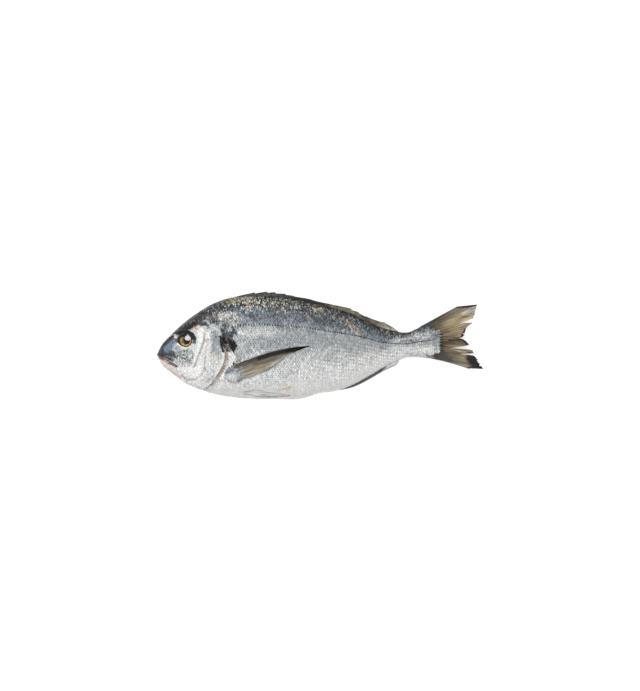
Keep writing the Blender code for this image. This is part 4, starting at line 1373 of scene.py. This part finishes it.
def finishWith(tree, shader, colour, wet):
    tree.links.new(colour, shader.inputs["Base Color"])
    tree.links.new(wet["Roughness"], shader.inputs["Roughness"])
    tree.links.new(wet["Normal"], shader.inputs["Normal"])


scaleLook = {
    # silver by height: 0 on the belly, 0.5 on the lateral line, 1 on the back
    "ramp": [
        (0.00, (0.625, 0.62, 0.61)), (0.18, (0.585, 0.59, 0.59)), (0.30, (0.42, 0.43, 0.43)),
        (0.40, (0.27, 0.285, 0.29)), (0.485, (0.33, 0.345, 0.35)), (0.53, (0.195, 0.216, 0.232)),
        (0.66, (0.104, 0.118, 0.133)), (0.82, (0.062, 0.070, 0.078)), (1.00, (0.028, 0.031, 0.034)),
    ],
    "toneLow": 0.82, "toneHigh": 1.18,
    # flecks on the back: their colours, and how rare they are; the pale ones are partly painted glints of
    # single scales
    "fleckGold": (0.52, 0.44, 0.27), "paleFleckAndGlint": (0.60, 0.62, 0.60), "glint": (0.20, 0.17, 0.12),
    "goldAbove": 0.86, "paleAbove": 0.74,
}


def makeScaleMaterial(mottle, slime, sparkle, paint):
    material, tree, shader = newMaterial("silver_scales", Metallic=0.18, Specular_IOR_Level=0.15)
    clouds = placeGroup(tree, mottle, Blotch_size=11.0, Grain_size=1.4, Stretch=1.6)
    height = remapped(tree, mark(tree, "height"), -1.0, 1.0)
    tone, place, rim = (mark(tree, name) for name in ("tone", "place", "rim"))
    other = maths(tree, "FRACT", times(tree, tone, 37.0))
    drift = swing(tree, clouds["Blotch"], 0.22)
    level = plus(tree, plus(tree, height, drift), swing(tree, other, 0.10))
    colour = ramped(tree, level, scaleLook["ramp"])
    colour = placeGroup(tree, paint, Base=colour, Grain=clouds["Grain"])["Colour"]
    # golden and pale flecks on the back, most of them ahead of its middle; the pale ones are partly painted
    # glints of single scales
    cells = placeGroup(tree, sparkle, Cell_width=0.90, Cell_height=1.8)
    ahead = remapped(tree, place, 0.40, 0.56, 1.0, 0.38)
    behindNape = remapped(tree, place, 0.19, 0.29, 0.38, 1.0)
    flecked = times(tree, remapped(tree, height, 0.66, 0.80), times(tree, ahead, behindNape))
    patches = times(tree, flecked, remapped(tree, clouds["Blotch"], 0.40, 0.56, 0.25, 1.0))
    golden = above(tree, cells["Second"], scaleLook["goldAbove"])
    colour = mixed(tree, times(tree, times(tree, golden, patches), 0.8), colour, scaleLook["fleckGold"])
    belowCrest = times(tree, flecked, remapped(tree, height, 0.90, 1.0, 1.0, 0.45))
    pale = times(tree, above(tree, cells["Third"], scaleLook["paleAbove"]), belowCrest)
    colour = mixed(tree, times(tree, pale, 0.75), colour, scaleLook["paleFleckAndGlint"])
    # some scales of the black shoulder spot keep a golden glint
    glint = times(tree, mark(tree, "ink"), golden)
    colour = mixed(tree, times(tree, glint, 0.5), colour, scaleLook["glint"])
    # painted shade: a scale is darker where it comes out from under the next, and along its sides; its free
    # edge gets a painted highlight
    shade = remapped(tree, mark(tree, "rear"), 0.40, 0.80, 0.30, 1.12)
    shade = times(tree, shade, rest(tree, times(tree, remapped(tree, rim, 0.45, 1.0), 0.35)))
    # low on the rear of the flank every second row is darker, with thin lines of painted shade between them
    rows = times(tree, remapped(tree, place, 0.44, 0.64), remapped(tree, height, 0.52, 0.44))
    halfway = maths(tree, "ABSOLUTE", maths(tree, "SUBTRACT", rim, 0.5))
    rowGapShade = times(tree, remapped(tree, halfway, 0.06, 0.34, 1.0, 0.0), times(tree, rows, 0.14))
    lane = times(tree, maths(tree, "SUBTRACT", mark(tree, "lane"), 0.4), times(tree, rows, 0.30))
    shade = times(tree, shade, maths(tree, "SUBTRACT", plus(tree, 1.0, lane), rowGapShade))
    shade = times(tree, shade, remapped(tree, tone, 0.0, 1.0, scaleLook["toneLow"], scaleLook["toneHigh"]))
    # painted sparkle: fine light and dark cells, strongest on the back, for the light caught by single
    # scales
    contrast = remapped(tree, height, 0.50, 0.62, 0.62, 1.22)
    contrast = times(tree, contrast, remapped(tree, place, 0.80, 0.90, 1.0, 0.75))
    contrast = times(tree, contrast, rest(tree, times(tree, rows, 0.6)))
    shade = times(tree, shade, plus(tree, 1.0, swing(tree, cells["First"], contrast)))
    # the belly's scales are thin and smooth, and so are the pearly patches
    belly, pearly = remapped(tree, height, 0.02, 0.20, 0.7, 0.0), times(tree, mark(tree, "pearl"), 0.45)
    smooth = maths(tree, "MAXIMUM", belly, pearly)
    shade = plus(tree, times(tree, shade, rest(tree, smooth)), times(tree, smooth, 0.92))
    wet = placeGroup(tree, slime, Gloss=0.32, Unevenness=0.10, Bump_size=0.7, Bump_height=0.15)
    finishWith(tree, shader, shaded(tree, colour, shade), wet)
    return material


skinLook = {
    "ramp": [
        (0.0, (0.63, 0.61, 0.60)), (0.3, (0.56, 0.565, 0.56)), (0.55, (0.40, 0.41, 0.41)),
        (0.75, (0.28, 0.29, 0.295)), (1.0, (0.06, 0.063, 0.066)),
    ],
    # the first tint colours the painted shade in the grooves
    "grooveShadeTint": (0.34, 0.30, 0.29), "speck": (0.30, 0.29, 0.25),
}


def makeSkinMaterial(mottle, slime, sparkle, paint):
    material, tree, shader = newMaterial(
        "head_skin", Metallic=0.05, Specular_IOR_Level=0.15, Coat_Weight=0.05, Coat_Roughness=0.15,
    )
    clouds = placeGroup(tree, mottle, Blotch_size=7.0, Grain_size=1.0, Stretch=1.0)
    height = remapped(tree, mark(tree, "height"), -1.0, 1.0)
    base = ramped(tree, plus(tree, height, swing(tree, clouds["Blotch"], 0.3)), skinLook["ramp"])
    colour = placeGroup(tree, paint, Base=base, Grain=clouds["Grain"])["Colour"]
    cells = placeGroup(tree, sparkle, Cell_width=0.9, Cell_height=1.4)
    speck = times(tree, above(tree, cells["Second"], 0.80), remapped(tree, height, 0.62, 0.8))
    colour = mixed(tree, times(tree, speck, 0.35), colour, skinLook["speck"])
    grain = remapped(tree, clouds["Grain"], 0.38, 0.62, 0.72, 1.22)
    # painted sparkle: light and dark cells, strongest high on the head
    sparks = swing(tree, cells["First"], remapped(tree, height, 0.50, 0.64, 0.42, 0.95))
    colour = shaded(tree, colour, times(tree, grain, plus(tree, 1.0, sparks)))
    # painted shade in the grooves, the eye socket and behind the gill cover's edge, with a warm tint
    colour = mixed(tree, times(tree, mark(tree, "grooveShade"), 0.8), colour, skinLook["grooveShadeTint"], "MULTIPLY")
    wet = placeGroup(tree, slime, Gloss=0.30, Unevenness=0.12, Bump_size=0.8, Bump_height=0.25)
    finishWith(tree, shader, colour, wet)
    return material


def makeFinMaterial(name, fin, mottle, slime, paint):
    material, tree, shader = newMaterial(name + "_membrane", Specular_IOR_Level=0.15)
    # streaks run along the rays, because they are made from the fin's own coordinates
    reach = mark(tree, "reach")
    run = {"X": times(tree, mark(tree, "ramp"), fin["streaks"]), "Y": times(tree, reach, 3.0)}
    streaks = cloudNoise(tree, addNode(tree, "ShaderNodeCombineXYZ", run).outputs[0], 1.0)
    clouds = placeGroup(tree, mottle, Blotch_size=9.0, Grain_size=0.8, Stretch=1.0)
    colour = ramped(tree, mark(tree, "ramp"), fin["ramp"])
    colour = mixed(tree, times(tree, mark(tree, "ray"), 0.30), colour, fin["rayTint"])
    colour = shaded(tree, colour, remapped(tree, streaks, 0.33, 0.67, 0.35, 1.6))
    colour = shaded(tree, colour, remapped(tree, reach, 0.35, 0.80, fin["rootShade"], fin["tipShade"]))
    colour = shaded(tree, colour, remapped(tree, reach, 0.20, 0.46, fin["rootShade"], 1.0))
    colour = placeGroup(tree, paint, Base=colour, Grain=streaks)["Colour"]
    colour = shaded(tree, colour, remapped(tree, clouds["Grain"], 0.35, 0.65, 0.86, 1.14))
    wet = placeGroup(tree, slime, Gloss=0.36, Unevenness=0.10, Bump_size=0.6, Bump_height=0.2)
    finishWith(tree, shader, colour, wet)
    if fin["clearMost"] > 0:
        clearness = remapped(tree, streaks, 0.4, 0.6, 0.6 * fin["clearMost"], fin["clearMost"])
        seeThrough = times(tree, mark(tree, "clear"), clearness)
        tree.links.new(rest(tree, seeThrough), shader.inputs["Alpha"])
    return material


def makePoreMaterial(mottle):
    material, tree, shader = newMaterial("lateral_pores", Roughness=0.45, Specular_IOR_Level=0.15)
    clouds = placeGroup(tree, mottle, Blotch_size=5.0, Grain_size=0.6, Stretch=1.0)
    share = remapped(tree, clouds["Blotch"], 0.4, 0.65)
    colour = mixed(tree, share, lateralPores["dark"], lateralPores["pale"])
    colour = shaded(tree, colour, remapped(tree, mark(tree, "tone"), 0.0, 1.0, 0.6, 1.5))
    tree.links.new(colour, shader.inputs["Base Color"])
    return material


eyeLook = {
    # the iris from its middle to its rim
    "iris": [
        (0.0, (0.06, 0.04, 0.02)), (0.50, (0.10, 0.06, 0.025)), (0.64, (0.27, 0.17, 0.055)),
        (0.74, (0.45, 0.33, 0.15)), (0.84, (0.30, 0.17, 0.05)), (0.93, (0.08, 0.05, 0.025)),
        (1.0, (0.012, 0.011, 0.010)),
    ],
    # the iris's top colour is painted shade from the brow
    "irisBrowShade": (0.010, 0.010, 0.010), "pupil": (0.008, 0.008, 0.010),
    # a pale patch on the pupil: partly the clouded lens, partly a painted reflection of the light
    "cloudAndReflectionDark": (0.42, 0.40, 0.46), "cloudAndReflectionPale": (0.62, 0.60, 0.65),
}


def makeEyeMaterial():
    material, tree, shader = newMaterial(
        "eye", Roughness=0.35, Specular_IOR_Level=0.08, Coat_Weight=0.10, Coat_Roughness=0.03,
    )
    cloud = cloudNoise(tree, addNode(tree, "ShaderNodeTexCoord").outputs["Object"], 600.0)
    wobble = swing(tree, cloud, 0.22)
    iris = ramped(tree, plus(tree, mark(tree, "radial"), wobble), eyeLook["iris"])
    iris = shaded(tree, iris, remapped(tree, cloud, 0.38, 0.62, 0.55, 1.25))
    # painted shade: the brow's shadow darkens the iris's upper part
    iris = mixed(tree, remapped(tree, mark(tree, "upward"), 0.30, 0.62), iris, eyeLook["irisBrowShade"])
    fromPupil = plus(tree, mark(tree, "pupil"), times(tree, wobble, 0.3))
    colour = mixed(tree, remapped(tree, fromPupil, 0.94, 1.08, 1.0, 0.0), iris, eyeLook["pupil"])
    # a pale patch on the pupil: partly the clouded lens, partly a painted reflection of the light
    share = remapped(tree, cloud, 0.35, 0.65)
    cloudAndReflection = mixed(tree, share, eyeLook["cloudAndReflectionDark"], eyeLook["cloudAndReflectionPale"])
    colour = mixed(tree, mark(tree, "cloud"), colour, cloudAndReflection)
    tree.links.new(colour, shader.inputs["Base Color"])
    return material


# Table, light and camera

studio = {
    "table": (0.80, 0.80, 0.80), "glow": 0.35, "sky": 0.60, "ceiling": 0.8,
    "lamps": [("key", (-0.35, 0.45, 1.25), 2.0, 20.5), ("fill", (0.45, -0.45, 1.2), 1.8, 8.5)],
}


def makeStage():
    scene = bpy.context.scene
    bpy.ops.mesh.primitive_plane_add(size=6.0, location=(0.0, 0.0, cadLow.z - 0.0002))
    floor = bpy.context.object
    floor.name = "table"
    material, _, _ = newMaterial(
        "pale_table", Roughness=0.75, Base_Color=(*studio["table"], 1.0),
        Emission_Color=(1.0, 1.0, 1.0, 1.0), Emission_Strength=studio["glow"],
    )
    floor.data.materials.append(material)
    world = bpy.data.worlds.new("studio")
    scene.world = world
    world.use_nodes = True
    # white walls and a darker ceiling, so that wet skin keeps its dark tones seen from above
    tree = world.node_tree
    tree.nodes["Background"].inputs["Strength"].default_value = studio["sky"]
    way = addNode(tree, "ShaderNodeTexCoord").outputs["Generated"]
    upward = addNode(tree, "ShaderNodeSeparateXYZ", {0: way}).outputs["Z"]
    shade = remapped(tree, upward, 0.55, 0.95, 1.0, studio["ceiling"])
    tree.links.new(shade, tree.nodes["Background"].inputs["Color"])
    for name, spot, size, power in studio["lamps"]:
        lamp = bpy.data.lights.new(name, "AREA")
        lamp.size, lamp.energy = size, power
        holder = bpy.data.objects.new(name, lamp)
        holder.location = spot
        holder.rotation_euler = (Vector((0, 0, 0.02)) - Vector(spot)).to_track_quat("-Z", "Y").to_euler()
        scene.collection.objects.link(holder)
    scene.view_settings.view_transform = "Standard"


# span is how many metres the image's long side shows
cameraView = {"lens": 220.0, "sensor": 36.0, "span": 0.6375, "middleHeight": 0.02}


def makeCamera():
    camera = bpy.data.cameras.new("camera")
    camera.lens, camera.sensor_width = cameraView["lens"], cameraView["sensor"]
    holder = bpy.data.objects.new("camera", camera)
    away = cameraView["span"] * cameraView["lens"] / cameraView["sensor"]
    holder.location = (0.0, 0.0, cameraView["middleHeight"] + away)
    bpy.context.scene.collection.objects.link(holder)
    bpy.context.scene.camera = holder


def buildFish():
    mottle, slime, sparkle = makeMottleGroup(), makeSlimeGroup(), makeSparkleGroup()
    skinWords = ("pearl", "steel", "slate", "azure", "gold", "rose", "creaseShadow", "umber", "moss", "ink")
    skinPaint = makePaintGroup("skinPaint", skinWords)
    finPaint = makePaintGroup("finPaint", ("pearl", "steel", "slate", "ink"))
    skin = makeSkinMaterial(mottle, slime, sparkle, skinPaint)
    scales = makeScaleMaterial(mottle, slime, sparkle, skinPaint)
    eye, pores = makeEyeMaterial(), makePoreMaterial(mottle)
    fins = {
        "caudal": caudalFin, "dorsal": dorsalFin, "anal": analFin, "pectoral": pectoralFin,
        "pelvic": pelvicFin, "gill_rim": gillRim,
    }
    membranes = {word: makeFinMaterial(word, fin, mottle, slime, finPaint) for word, fin in fins.items()}
    makeHead(skin)
    makeTrunk(skin)
    print("head and trunk made")
    for side, word in ((1, "left"), (-1, "right")):
        makeScales(side, word, scales)
        makeHeadScales(side, word, scales)
        makeLateralLine(side, word, pores)
        makeEye(side, word, eye)
        makeFinRoot(side, word, skin, scales)
        makeGillRim(side, word, membranes["gill_rim"])
        foldedFin("pectoral_fin_" + word, pectoralFin, side, membranes["pectoral"])
        foldedFin("pelvic_fin_" + word, pelvicFin, side, membranes["pelvic"])
    makeCaudal(membranes["caudal"])
    makeDorsal(membranes["dorsal"])
    makeAnal(membranes["anal"])
    print("fins made")


makeStage()
makeCamera()
buildFish()
